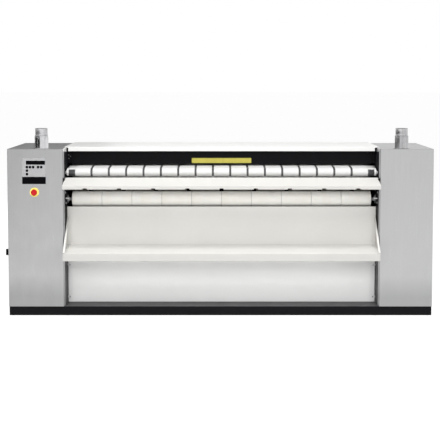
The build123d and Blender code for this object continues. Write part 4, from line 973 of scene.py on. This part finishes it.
class IRONER_OT_frame_and_plinth(bpy.types.Operator):
    """Dark inner side frames with their trims, linings and caps, plinth, a black strip under it as
    painted shadow, and feet
    """

    bl_idname = "ironer.frame_and_plinth"
    bl_label = "Frame and plinth"

    def execute(self, context):
        for name in FRAMES:
            dress_sheet(name, "frame_steel", "frame_steel")
        self.edge_trims()
        self.linings()
        self.cover_ends()
        plinth = dress_sheet("base_frame", "black_paint", "black_paint")
        plinth.data.materials.append(FINISHES["plate_paint"])
        for face in plinth.data.polygons:
            if face.normal.z > 0.9:
                face.material_index = 1
        dress_sheet("levelling_feet", "foot_rubber", "foot_rubber")
        # A black strip under the plinth, as painted shadow.
        self.floor_shadow_skirt()
        return {"FINISHED"}

    def floor_shadow_skirt(self):
        """A black rubber strip all round under the plinth, down to the floor: painted shadow that fills
        the gap under the plinth.
        """
        low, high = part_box("base_frame")
        thick, foot, rise, rounding = 0.0016, 0.0006, 0.009, 0.0004
        sides = (
            ((low.x, low.y), (high.x, low.y + thick)),
            ((low.x, high.y - thick), (high.x, high.y)),
            ((low.x, low.y), (low.x + thick, high.y)),
            ((high.x - thick, low.y), (high.x, high.y)),
        )
        runs = []
        for start, stop in sides:
            runs.append(rounded(slab("run", (*start, foot), (*stop, low.z + rise)), rounding))
        finish(joined("floor_shadow_skirt", runs), FINISHES["foot_rubber"], "root", "foot_rubber")

    def edge_trims(self):
        """A stainless strip over each side frame's front edge, as high as the covers' ends."""
        near, far, shift, foot, overlap, rounding = 0.0001, 0.0016, 0.0002, 0.0015, 0.004, 0.0004
        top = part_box("top_cover")[0].z + overlap
        trims = []
        for name in FRAMES:
            low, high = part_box(name)
            trim = slab("trim", (low.x + shift, low.y - far, low.z + foot),
                        (high.x + shift, low.y - near, top))
            trims.append(rounded(trim, rounding))
        finish(joined("frame_trims", trims), FINISHES["stainless_brushed"], "root", "stainless_brushed")

    def linings(self):
        """Plain grey lining on each side frame, from its front to the lower panel."""
        near, far, gap, rounding = 0.0001, 0.0007, 0.0005, 0.0002
        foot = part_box("base_frame")[1].z + 0.0015
        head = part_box("collector_tray")[0].z + 0.012
        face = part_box("lower_front_panel")[0].y
        pads = []
        for wall, inwards in WALLS:
            x0, x1 = beside(wall, inwards, near, far)
            pad = slab("lining", (x0, FRAME_FRONT, foot), (x1, face - gap, head))
            pads.append(rounded(pad, rounding))
        finish(joined("frame_linings", pads), FINISHES["plate_paint"], "root", "frame_steel")

    def cover_ends(self):
        """Caps over the side frames' top front corners: white on the left; the right one, white on the
        real machine too, gets the greyer stainless finish as painted shade.
        """
        proud, drop, below, rounding = 0.002, 0.003, 0.0005, 0.0006
        overlap, inset = 0.0007, 0.0002
        front_rise, front_drop = 0.0085, 0.006
        cover_low, cover_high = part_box("top_cover")
        foot, head = cover_low.z - drop, cover_high.z - below
        left_low, left_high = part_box("left_side_frame")
        right_low, right_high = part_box("right_side_frame")
        for label, finish_name, x0, x1 in (
                ("left_cover_end", "white_paint", left_low.x + inset, left_high.x + overlap),
                # The right cap takes the stainless finish as painted shade; the real cap is white like
                # the left one.
                ("right_cover_end_shaded", "stainless_brushed", right_low.x - overlap, right_high.x)):
            cap = slab(label, (x0, FRAME_FRONT - proud, foot), (x1, cover_low.y, head))
            for vertex in cap.data.vertices:
                if vertex.co.y < FRAME_FRONT:
                    vertex.co.z += front_rise if vertex.co.z < (foot + head) / 2 else -front_drop
            finish(rounded(cap, rounding), FINISHES[finish_name], "root", finish_name)


class IRONER_OT_guard(bpy.types.Operator):
    """Black finger guard with a bare yellow strip, its brackets and their small bolts"""

    bl_idname = "ironer.guard"
    bl_label = "Finger guard"

    def execute(self, context):
        dress_sheet("finger_guard", "black_paint", "black_paint", "guard")
        dress_sheet("guard_brackets", "black_paint", "black_paint")
        low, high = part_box("finger_guard")
        self.strip(low)
        self.bolts(low, high)
        return {"FINISHED"}

    def strip(self, low):
        """The bare strip, low in the middle of the guard's front."""
        half_length, foot, head = 0.1995, 0.0072, 0.0407
        proud, sunk, rounding = 0.0004, 0.0002, 0.00015
        middle = (WALLS[0][0] + WALLS[1][0]) / 2
        strip = slab("guard_strip", (middle - half_length, low.y - proud, low.z + foot),
                     (middle + half_length, low.y + sunk, low.z + head))
        finish(rounded(strip, rounding), FINISHES["guard_yellow"], "guard", "estop_yellow")

    def bolts(self, low, high):
        """Three bolts in a triangle at each end, plain steel on the left and black on the right."""
        radius, thick = 0.0048, 0.0026
        triangle = ((0.006, 0.028), (0.0175, 0.038), (0.0075, 0.052))
        sides = (("left", "dull_screw"), ("right", "black_paint"))
        for (wall, inwards), (side, steel) in zip(WALLS, sides):
            places = [(wall + inwards * reach, low.y, high.z - drop) for reach, drop in triangle]
            head = fastener("bolt", radius, thick, 6)
            row = spread(head, side + "_guard_bolts",
                         [seat(place, "front", place[2]) for place in places])
            finish(row, FINISHES[steel], "root", "screw_steel")


# ---------------------------------------------------------------- flues

class IRONER_OT_flues(bpy.types.Operator):
    """Flue pipes with a rolled rim, beads and a lap seam, in riveted collars"""

    bl_idname = "ironer.flues"
    bl_label = "Flues"

    def execute(self, context):
        pipe_low, pipe_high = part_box("flue_pipes")
        collar_low, collar_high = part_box("flue_collars")
        depth = (collar_low.y + collar_high.y) / 2
        half = (collar_high.y - collar_low.y) / 2
        places = [(collar_low.x + half, depth, 0.0), (collar_high.x - half, depth, 0.0)]
        sooty_within = 0.0388
        pipe = self.pipe(pipe_low.z, collar_high.z, pipe_high.z)
        collar = self.collar(collar_low.z, collar_high.z)
        left, right = (Matrix.Translation(place) for place in places)
        for name, pattern, matrix, zinc_name, *nodes in (
                ("left_flue_pipe", pipe, left, "dull_zinc", "flue_pipes"),
                ("right_flue_pipe", pipe, right, "darker_zinc"),
                ("left_flue_collar", collar, left, "galvanised_steel", "flue_collars"),
                ("right_flue_collar", collar, right, "darker_zinc")):
            piece = copy_at(pattern, name, matrix)
            finish(piece, FINISHES[zinc_name], "root", "galvanised_steel", *nodes)
            piece.data.materials.append(FINISHES["soot"])
            centre = matrix.translation
            for face in piece.data.polygons:
                reach = hypot(face.center.x - centre.x, face.center.y - centre.y)
                if reach < sooty_within and abs(face.normal.z) < 0.5:
                    face.material_index = 1
        for pattern in (pipe, collar):
            bpy.data.objects.remove(pattern)
        return {"FINISHED"}

    def pipe(self, foot, step, top):
        """Pipe with a thin wall: slimmer in the collar, beaded above it, with its rim rolled out."""
        outer, spigot, wall = 0.0405, 0.0395, 0.0015
        bead = step + 0.012
        rings = [
            (spigot, foot), (spigot, step), (outer - 0.0006, step + 0.0006),
            (outer - 0.0006, bead - 0.003), (outer, bead - 0.0015), (outer, bead + 0.0015),
            (outer - 0.0006, bead + 0.003), (outer - 0.0006, top - 0.0045),
            (outer + 0.0004, top - 0.003), (outer + 0.0008, top - 0.0015),
            (outer + 0.0002, top - 0.0002), (outer - 0.0012, top), (outer - 0.0022, top - 0.002),
            (spigot - wall, top - 0.006), (spigot - wall, foot), (spigot, foot),
        ]
        pipe = lathe("pipe", rings, 96, True)
        seam = slab("seam", (outer - 0.0016, -0.004, step + 0.001),
                    (outer + 0.0002, 0.004, top - 0.005))
        rounded(seam, 0.0003)
        moved(seam, Matrix.Rotation(radians(-62.0), 4, "Z"))
        return joined("pipe", [pipe, seam])

    def collar(self, foot, top):
        """Collar with a flange screwed to the cabinet, a seam and a row of rivets."""
        outer, bore, flange, sheet = 0.0445, 0.0399, 0.053, 0.002
        rings = [
            (bore, foot), (flange - 0.0004, foot), (flange, foot + 0.0004),
            (flange, foot + sheet - 0.0004), (flange - 0.0004, foot + sheet),
            (outer + 0.003, foot + sheet), (outer + 0.0009, foot + sheet + 0.0009),
            (outer, foot + sheet + 0.003), (outer, top - 0.010),
            (outer - 0.0012, top - 0.0085), (outer - 0.0012, top - 0.0065), (outer, top - 0.005),
            (outer, top - 0.0012), (outer - 0.0008, top - 0.0003), (outer - 0.002, top),
            (bore, top), (bore, foot),
        ]
        collar = lathe("collar", rings, 96, True)
        seam = slab("seam", (outer - 0.001, -0.006, foot + 0.004), (outer + 0.0009, 0.006, top - 0.011))
        rounded(seam, 0.0004)
        moved(seam, Matrix.Rotation(radians(-84.0), 4, "Z"))
        rivet = lathe("rivet", [(0.0028, -0.0008), (0.0028, 0.0003), (0.0022, 0.0012),
                                (0.001, 0.0016)], 16)
        rivets = []
        for angle in range(0, 360, 60):
            around = Matrix.Rotation(radians(angle + 12.0), 4, "Z")
            rivets.append(around @ seat((outer - 0.0002, 0.0, top - 0.016), "right"))
        screw = fastener("screw", 0.0036, 0.002, 16, True)
        screws = []
        for angle in range(45, 405, 90):
            around = Matrix.Rotation(radians(angle), 4, "Z")
            screws.append(around @ seat((0.0493, 0.0, foot + sheet - 0.0002), "up"))
        return joined("collar", [collar, seam, spread(rivet, "rivets", rivets),
                                 spread(screw, "flange_screws", screws)])


# ---------------------------------------------------------------- rollers

ROLLERS = (
    ("feed_front_roller", "feed_front"),
    ("feed_rear_roller", "feed_rear"),
    ("press_roller", "press"),
    ("exit_roller", "exit"),
    ("return_roller", "return"),
    ("tension_roller", "tension"),
)


class IRONER_OT_rollers(bpy.types.Operator):
    """Turned rollers; the front feed roller has knurled sleeves on its bare ends"""

    bl_idname = "ironer.rollers"
    bl_label = "Rollers"

    def execute(self, context):
        for name, body in ROLLERS:
            steel = "feed_steel" if name == "feed_front_roller" else "turned_steel"
            finish(dressed(name, sizes().cast_edge), FINISHES[steel], body, "turned_steel", name)
        wall_gap, band_gap = 0.024, 0.006
        y, z, radius = axle("feed_front_roller")
        ends = []
        for (wall, inwards), band in zip(WALLS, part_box("feed_bands")):
            start, end = sorted((wall + inwards * wall_gap, band.x - inwards * band_gap))
            ends.append(self.sleeve(y, z, radius, start, end))
        finish(joined("knurled_sleeves", ends), FINISHES["knurled_steel"], "feed_front", "turned_steel")
        return {"FINISHED"}

    def sleeve(self, y, z, radius, start, end):
        """A thin knurled sleeve with a low shoulder at each end."""
        thick, shoulder, rise = 0.0002, 0.003, 0.0003
        sleeve = rod("sleeve", "X", radius + thick, (start, y, z), (end, y, z), 72)
        open_faces(sleeve, lambda centre, normal: abs(normal.x) < 0.5)
        bpy.ops.mesh.inset(thickness=shoulder)
        growth = 1.0 + rise / radius
        bpy.ops.transform.resize(value=(1.0, growth, growth), center_override=(0.0, y, z))
        close_edit()
        return rounded(sleeve, 0.0003)


class IRONER_OT_end_plates(bpy.types.Operator):
    """Seal flanges, bolts, pale rings on the shafts as painted highlight, roller covers and black
    strips on the inner faces of the side frames
    """

    bl_idname = "ironer.end_plates"
    bl_label = "End plates"

    def execute(self, context):
        self.flanges()
        self.shields()
        self.wall_bolts()
        return {"FINISHED"}

    def flanges(self):
        """A seal flange with four bolts round each roller's shaft."""
        slim, flat = 0.6, 0.7
        circle, stand = 0.0258, 0.0025
        flange = lathe("flange", [(0.0165, 0.0), (0.031, 0.0), (0.031, 0.0015), (0.0298, 0.0027),
                                  (0.022, 0.0032), (0.0205, 0.006), (0.0165, 0.006), (0.0165, 0.0)],
                       56, True)
        bolt = fastener("bolt", sizes().bolt_radius * slim, sizes().bolt_height * flat, 6)
        flanges, bolts = [], []
        for name in ("exit_roller", "return_roller", "tension_roller", "press_roller",
                     "feed_rear_roller"):
            y, z = axle(name)[:2]
            for wall, inwards in WALLS:
                flanges.append(on_wall(wall, inwards, y, z))
                for angle in (45.0, 135.0, 225.0, 315.0):
                    bolt_y, bolt_z = y + circle * cos(radians(angle)), z + circle * sin(radians(angle))
                    bolts.append(on_wall(wall, inwards, bolt_y, bolt_z, stand, angle))
        finish(spread(flange, "seal_flanges", flanges), FINISHES["grey_plastic"], "root",
               "grey_plastic")
        finish(spread(bolt, "flange_bolts", bolts), FINISHES["screw_steel"], "root", "screw_steel")

    def shields(self):
        """A pale cover and rim over each bare end of the feed rollers, and black strips beside them
        along the wall.
        """
        gap, dark_strip_gap, band_gap = 0.0012, 0.0022, 0.001
        rim_start, rim_end, dark_strip_start, dark_strip_end = 0.0110, 0.0230, 0.0003, 0.0065
        cover_sheet, rim_sheet, dark_strip_sheet = 0.0012, 0.0014, 0.0045
        covers, dark_strips = [], []
        for (wall, inwards), band in zip(WALLS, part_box("feed_bands")):
            ends = sorted((wall + inwards * rim_start, band.x - inwards * band_gap))
            covers.append(bent_strip("cover", self.over_rollers(gap, 48.0), *ends, cover_sheet))
            ends = beside(wall, inwards, rim_start, rim_end)
            covers.append(bent_strip("rim", self.over_rollers(gap, -55.0), *ends, rim_sheet))
            ends = beside(wall, inwards, dark_strip_start, dark_strip_end)
            upper, lower = self.over_rollers(dark_strip_gap, 20.0), self.over_rollers(dark_strip_gap, -62.0)[-4:]
            for path in (upper, lower):
                dark_strips.append(bent_strip("dark_strip", path, *ends, dark_strip_sheet))
        finish(joined("roller_covers", covers), FINISHES["white_paint"], "root", "white_paint")
        finish(joined("roller_dark_strips", dark_strips), FINISHES["black_paint"], "root", "black_paint")

    def over_rollers(self, gap, stop):
        """Points over both feed rollers, and round the front one down to an angle above its axis."""
        front_y, front_z, radius = axle("feed_front_roller")
        rear_y, rear_z, rear_radius = axle("feed_rear_roller")
        path = [(rear_y, rear_z + rear_radius + gap)]
        steps = 14
        for step in range(steps + 1):
            angle = radians(90.0 + (stop - 90.0) * step / steps)
            path.append((front_y - (radius + gap) * cos(angle), front_z + (radius + gap) * sin(angle)))
        return path

    def wall_bolts(self):
        """Two bolts and a pin on each side frame, and a pale ring on each visible shaft; the rings and
        the pin are pale as a painted highlight of bright steel.
        """
        pin_radius, pin_length, rounding = 0.0045, 0.022, 0.0008
        y, z = axle("exit_roller")[:2]
        bolt_places = ((y - 0.122, z - 0.014), (y - 0.148, z + 0.058))
        pin_y, pin_z = y - 0.118, z + 0.016
        bolt = fastener("bolt", sizes().bolt_radius, sizes().bolt_height, 6)
        bolts, pins = [], []
        for wall, inwards in WALLS:
            for bolt_y, bolt_z in bolt_places:
                bolts.append(on_wall(wall, inwards, bolt_y, bolt_z, turn=bolt_y))
            start, end = beside(wall, inwards, 0.0, pin_length)
            pin = rod("pin", "X", pin_radius, (start, pin_y, pin_z), (end, pin_y, pin_z), 24)
            pins.append(rounded(pin, rounding))
            # Pale rings on the shafts: painted highlight.
            pins.append(self.highlight_ring("exit_roller", wall, inwards, 0.0065, 0.0125))
            pins.append(self.highlight_ring("feed_front_roller", wall, inwards, 0.0006, 0.0104))
        finish(spread(bolt, "wall_bolts", bolts), FINISHES["screw_steel"], "root", "screw_steel")
        finish(joined("wall_pins_and_highlights", pins), FINISHES["pale_highlight"], "root", "grey_plastic")

    def highlight_ring(self, name, wall, inwards, start, stop):
        """A thin pale ring round a roller's shaft, between two distances from a side frame, standing in
        for the shaft's highlight.
        """
        gap, thick, chamfer = 0.0003, 0.0006, 0.0004
        y, z = axle(name)[:2]
        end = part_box(name)[0].x + 0.001
        inner = gap + max(hypot(vertex.co.y - y, vertex.co.z - z)
                          for vertex in frame["nodes"][name].data.vertices if vertex.co.x < end)
        outer = inner + thick
        ring = lathe("highlight_ring", [(inner, start), (outer - thick / 2, start), (outer, start + chamfer),
                              (outer, stop - chamfer), (outer - thick / 2, stop), (inner, stop),
                              (inner, start)], 48, True)
        return moved(ring, on_wall(wall, inwards, y, z))


# ---------------------------------------------------------------- controls

class IRONER_OT_fascia(bpy.types.Operator):
    """Control fascia with its display, seven buttons and a bare black bar"""

    bl_idname = "ironer.fascia"
    bl_label = "Fascia"

    def execute(self, context):
        finish(dressed("control_fascia", 0.0005, 3), FINISHES["fascia_film"], "root", "fascia_film",
               "control_fascia")
        low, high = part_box("control_fascia")
        foot, head, proud = 0.0005, 0.0475, 0.0006
        bar = slab("fascia_bar", (low.x, low.y - proud, low.z + foot), (high.x, low.y, low.z + head))
        finish(rounded(bar, 0.0002), FINISHES["display_glass"], "root", "display_glass")
        self.outline(low, high)
        self.display()
        self.buttons()
        return {"FINISHED"}

    def outline(self, low, high):
        """A thin dark line round the film, and a black ring round each button."""
        edge, proud = 0.0011, 0.0003
        inner, outer, chamfer, thick = 0.0063, 0.0089, 0.0003, 0.0009
        sides = (
            (low.x, high.x, high.z - edge, high.z),
            (low.x, low.x + edge, low.z, high.z),
            (high.x - edge, high.x, low.z, high.z),
        )
        lines = []
        for x0, x1, z0, z1 in sides:
            line = slab("line", (x0, low.y - proud, z0), (x1, low.y + proud, z1))
            lines.append(rounded(line, 0.0001))
        finish(joined("fascia_outline", lines), FINISHES["grey_plastic"], "root", "fascia_film")
        ring = lathe("ring", [
            (inner, 0.0), (outer, 0.0), (outer, thick - chamfer), (outer - chamfer, thick),
            (inner + chamfer, thick), (inner, thick - chamfer), (inner, 0.0)], 40, True)
        places = []
        for number in range(1, 8):
            start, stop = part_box("control_button_" + str(number))
            places.append(seat(((start.x + stop.x) / 2, low.y, (start.z + stop.z) / 2), "front"))
        rings = spread(ring, "button_rings", places)
        finish(rings, FINISHES["button_plastic"], "root", "button_plastic")

    def display(self):
        """Dark window behind a thin raised frame."""
        border, depth = 0.0014, 0.0004
        low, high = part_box("display")
        window = slab("display_window", low, high)
        open_faces(window, lambda centre, normal: normal.y < -0.9)
        bpy.ops.mesh.inset(thickness=border)
        bpy.ops.mesh.extrude_region_move(TRANSFORM_OT_translate={"value": (0.0, depth, 0.0)})
        close_edit()
        finish(rounded(window, 0.0001), FINISHES["display_glass"], "root", "display_glass", "display")

    def buttons(self):
        """Round push buttons with a shallow dish and a domed rim."""
        for number in range(1, 8):
            name = "control_button_" + str(number)
            low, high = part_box(name)
            tall = high.y - low.y
            radius = (high.x - low.x) / 2
            cap = lathe(name + "_cap", [
                (radius, 0.0), (radius, tall - 0.0006), (radius - 0.0002, tall - 0.0002),
                (radius - 0.0006, tall), (radius - 0.0014, tall), (radius - 0.0022, tall - 0.0004),
                (radius * 0.35, tall - 0.0007)], 40)
            moved(cap, seat(((low.x + high.x) / 2, high.y, (low.z + high.z) / 2), "front"))
            finish(cap, FINISHES["button_plastic"], "button_" + str(number), "button_plastic", name)


class IRONER_OT_estop(bpy.types.Operator):
    """Emergency stop: yellow ring and red mushroom head"""

    bl_idname = "ironer.estop"
    bl_label = "Emergency stop"

    def execute(self, context):
        finish(dressed("estop_ring", 0.0004), FINISHES["estop_yellow"], "root", "estop_yellow",
               "estop_ring")
        low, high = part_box("estop_button")
        radius = (high.x - low.x) / 2
        tall = high.y - low.y
        head = lathe("estop_head", [
            (radius * 0.72, 0.0), (radius * 0.9, 0.0003), (radius * 0.965, 0.0014), (radius, 0.0035),
            (radius, tall - 0.0065), (radius * 0.985, tall - 0.0042), (radius * 0.94, tall - 0.0024),
            (radius * 0.87, tall - 0.001), (radius * 0.77, tall - 0.0002), (radius * 0.66, tall),
            (radius * 0.6, tall - 0.0006), (radius * 0.52, tall - 0.0010),
            (radius * 0.2, tall - 0.0012)], 72)
        moved(head, seat(((low.x + high.x) / 2, high.y, (low.z + high.z) / 2), "front"))
        finish(head, FINISHES["estop_red"], "estop_head", "estop_red", "estop_button")
        return {"FINISHED"}


class IRONER_OT_main_switch(bpy.types.Operator):
    """Rotary main switch on the left side"""

    bl_idname = "ironer.main_switch"
    bl_label = "Main switch"

    def execute(self, context):
        finish(dressed("main_switch_base", 0.0006, 3), FINISHES["black_plastic"], "root",
               "black_plastic", "main_switch_base")
        grip_edge, longer = 0.006, 0.014
        knob = dressed("main_switch_knob", 0.0006, 3)
        low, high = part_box("main_switch_knob")
        for vertex in knob.data.vertices:
            if vertex.co.x < low.x + grip_edge:
                vertex.co.x -= longer
        finish(knob, FINISHES["button_plastic"], "main_switch", "black_plastic", "main_switch_knob")
        low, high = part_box("main_switch_base")
        inset, sunk = 0.0075, 0.0001
        screw = fastener("screw", 0.0034, 0.0014, 16, True)
        places = [(low.x + sunk, y, z) for y in (low.y + inset, high.y - inset)
                  for z in (low.z + inset, high.z - inset)]
        row = spread(screw, "switch_screws", [seat(place, "left", place[1]) for place in places])
        finish(row, FINISHES["screw_steel"], "root", "screw_steel")
        return {"FINISHED"}


# ---------------------------------------------------------------- running parts

class IRONER_OT_machinery(bpy.types.Operator):
    """Finishes of the drum, drive, fans, heating rods and the small parts that stay as they are"""

    bl_idname = "ironer.machinery"
    bl_label = "Machinery"

    def execute(self, context):
        slots = {part["node"]: part["material_slot"] for part in frame["record"]["subparts"]}
        for name, slot in slots.items():
            repaint(name, FINISHES[slot])
        return {"FINISHED"}


# ---------------------------------------------------------------- stage

def lamp(name, power, size, place, target):
    """A soft area lamp that looks at a point."""
    light = bpy.data.lights.new(name, "AREA")
    light.shape = "RECTANGLE"
    light.size, light.size_y = size
    light.energy = power
    source = bpy.data.objects.new(name, light)
    source.location = place
    source.rotation_euler = (Vector(target) - Vector(place)).to_track_quat("-Z", "Y").to_euler()
    source.visible_glossy = False
    bpy.context.scene.collection.objects.link(source)


def seen_directly(nodes, links):
    """1 for camera, glossy and transmission rays, else 0."""
    path = nodes.new("ShaderNodeLightPath")
    first = nodes.new("ShaderNodeMath")
    first.operation = "MAXIMUM"
    links.new(path.outputs["Is Camera Ray"], first.inputs[0])
    links.new(path.outputs["Is Glossy Ray"], first.inputs[1])
    both = nodes.new("ShaderNodeMath")
    both.operation = "MAXIMUM"
    links.new(first.outputs["Value"], both.inputs[0])
    links.new(path.outputs["Is Transmission Ray"], both.inputs[1])
    return both.outputs["Value"]


class IRONER_OT_stage(bpy.types.Operator):
    """Pale floor, white surround, soft lamps, dark screens and the camera"""

    bl_idname = "ironer.stage"
    bl_label = "Stage"

    def execute(self, context):
        studio = context.scene.ironer_studio
        context.scene.view_settings.view_transform = "Standard"
        bpy.ops.object.select_all(action="DESELECT")
        bpy.ops.mesh.primitive_plane_add(size=240.0, location=(0.0, 0.0, 0.0))
        floor = context.object
        floor.name = "floor"
        floor.data.materials.append(self.floor_material())
        self.surround(studio.ambient)
        lamp("low", studio.low, (5.0, 0.8), (0.0, -3.6, 0.5), (0.0, 0.0, 0.8))
        lamp("middle", studio.middle, (6.0, 2.0), (0.0, -6.2, 3.0), (0.0, 0.0, 0.6))
        lamp("high", studio.high, (6.0, 2.0), (0.0, -4.4, 5.0), (0.0, 0.0, 0.6))
        lamp("top", studio.top, (5.0, 1.6), (0.0, -2.2, 5.0), (0.0, -0.2, 0.8))
        lamp("left", studio.side, (2.4, 2.4), (-6.5, 0.6, 2.2), (0.0, 0.0, 0.6))
        lamp("right", studio.side, (2.4, 2.4), (6.5, 0.6, 2.2), (0.0, 0.0, 0.6))
        lamp("rear", studio.rear, (6.0, 2.4), (0.0, 6.5, 2.4), (0.0, 0.0, 0.6))
        self.flags(studio.flag)
        camera = bpy.data.objects.new("camera", bpy.data.cameras.new("camera"))
        camera.data.sensor_width = 36.0
        camera.data.lens = studio.lens
        camera.data.shift_y = studio.camera_shift
        camera.data.clip_end = 400.0
        camera.location = (studio.camera_x, CABINET_FRONT - studio.camera_distance,
                           studio.camera_height)
        camera.rotation_euler = (radians(90.0) - studio.camera_tilt, 0.0, 0.0)
        context.scene.collection.objects.link(camera)
        context.scene.camera = camera
        return {"FINISHED"}

    def floor_material(self):
        """White where it is looked at, apart from a share that keeps the machine's shadow."""
        glow_strength, glow_share = 1.18, 0.8
        material = bpy.data.materials.new("floor_white")
        material.use_nodes = True
        nodes, links = material.node_tree.nodes, material.node_tree.links
        shader = nodes["Principled BSDF"]
        shader.inputs["Base Color"].default_value = (0.82, 0.82, 0.82, 1.0)
        shader.inputs["Roughness"].default_value = 0.9
        glow = nodes.new("ShaderNodeEmission")
        glow.inputs["Strength"].default_value = glow_strength
        mix = nodes.new("ShaderNodeMixShader")
        share = nodes.new("ShaderNodeMath")
        share.operation = "MULTIPLY"
        share.inputs[1].default_value = glow_share
        links.new(seen_directly(nodes, links), share.inputs[0])
        links.new(share.outputs["Value"], mix.inputs["Fac"])
        links.new(shader.outputs["BSDF"], mix.inputs[1])
        links.new(glow.outputs["Emission"], mix.inputs[2])
        links.new(mix.outputs["Shader"], nodes["Material Output"].inputs["Surface"])
        return material

    def flags(self, grey):
        """Three dark screens round the left side that only bright metal mirrors."""
        reach, tall, rise = 5.0, 3.0, 1.5
        for name, start, stop in (("flag_front", 30.0, 66.0), ("flag_side", 66.0, 114.0),
                                  ("flag_rear", 114.0, 170.0)):
            material = bpy.data.materials.new(name)
            material.use_nodes = True
            nodes, links = material.node_tree.nodes, material.node_tree.links
            glow = nodes.new("ShaderNodeEmission")
            glow.inputs["Strength"].default_value = grey
            links.new(glow.outputs["Emission"], nodes["Material Output"].inputs["Surface"])
            middle = radians((start + stop) / 2)
            width = 2 * reach * sin(radians((stop - start) / 2))
            bpy.ops.object.select_all(action="DESELECT")
            place = (-reach * sin(middle), -reach * cos(middle), rise)
            bpy.ops.mesh.primitive_plane_add(size=1.0, location=place,
                                             rotation=(radians(90.0), 0.0, -middle))
            screen = bpy.context.object
            screen.name = name
            screen.scale = (width, tall, 1.0)
            settled(screen)
            screen.data.materials.append(material)
            screen.visible_camera = False
            screen.visible_diffuse = False
            screen.visible_shadow = False

    def surround(self, ambient):
        """White where it is looked at or mirrored, dimmer as a light on the object."""
        world = bpy.data.worlds.new("surround")
        bpy.context.scene.world = world
        world.use_nodes = True
        nodes, links = world.node_tree.nodes, world.node_tree.links
        background = nodes["Background"]
        background.inputs["Color"].default_value = (1.0, 1.0, 1.0, 1.0)
        strength = nodes.new("ShaderNodeMapRange")
        strength.inputs["To Min"].default_value = ambient
        strength.inputs["To Max"].default_value = 1.0
        links.new(seen_directly(nodes, links), strength.inputs["Value"])
        links.new(strength.outputs["Result"], background.inputs["Strength"])


class IRONER_PT_panel(bpy.types.Panel):
    """Lists the pieces, the sizes, the colours and the studio."""

    bl_label = "Flatwork ironer"
    bl_idname = "IRONER_PT_panel"
    bl_space_type = "VIEW_3D"
    bl_region_type = "UI"
    bl_category = "Ironer"

    def draw(self, context):
        for operator in OPERATORS:
            self.layout.operator(operator.bl_idname)
        for group in (context.scene.ironer_sizes, context.scene.ironer_colours,
                      context.scene.ironer_studio):
            for name in group.__annotations__:
                self.layout.prop(group, name)


GROUPS = (
    ("ironer_sizes", IronerSizes),
    ("ironer_colours", IronerColours),
    ("ironer_studio", IronerStudio),
)
OPERATORS = (
    IRONER_OT_stage,
    IRONER_OT_cabinets,
    IRONER_OT_covers,
    IRONER_OT_side_cover,
    IRONER_OT_table_and_tray,
    IRONER_OT_frame_and_plinth,
    IRONER_OT_guard,
    IRONER_OT_flues,
    IRONER_OT_rollers,
    IRONER_OT_end_plates,
    IRONER_OT_fascia,
    IRONER_OT_estop,
    IRONER_OT_main_switch,
    IRONER_OT_ironing_bands,
    IRONER_OT_feed_bands,
    IRONER_OT_machinery,
)


def register():
    """Make the property groups, operators and panel known."""
    for name, group in GROUPS:
        bpy.utils.register_class(group)
        setattr(bpy.types.Scene, name, PointerProperty(type=group))
    for operator in OPERATORS:
        bpy.utils.register_class(operator)
    bpy.utils.register_class(IRONER_PT_panel)


def unregister():
    """Forget them again."""
    bpy.utils.unregister_class(IRONER_PT_panel)
    for operator in reversed(OPERATORS):
        bpy.utils.unregister_class(operator)
    for name, group in reversed(GROUPS):
        delattr(bpy.types.Scene, name)
        bpy.utils.unregister_class(group)


def main():
    """Build every piece in order."""
    register()
    make_finishes()
    for operator in OPERATORS:
        group, name = operator.bl_idname.split(".")
        getattr(getattr(bpy.ops, group), name)()


if __name__ == "__main__":
    main()
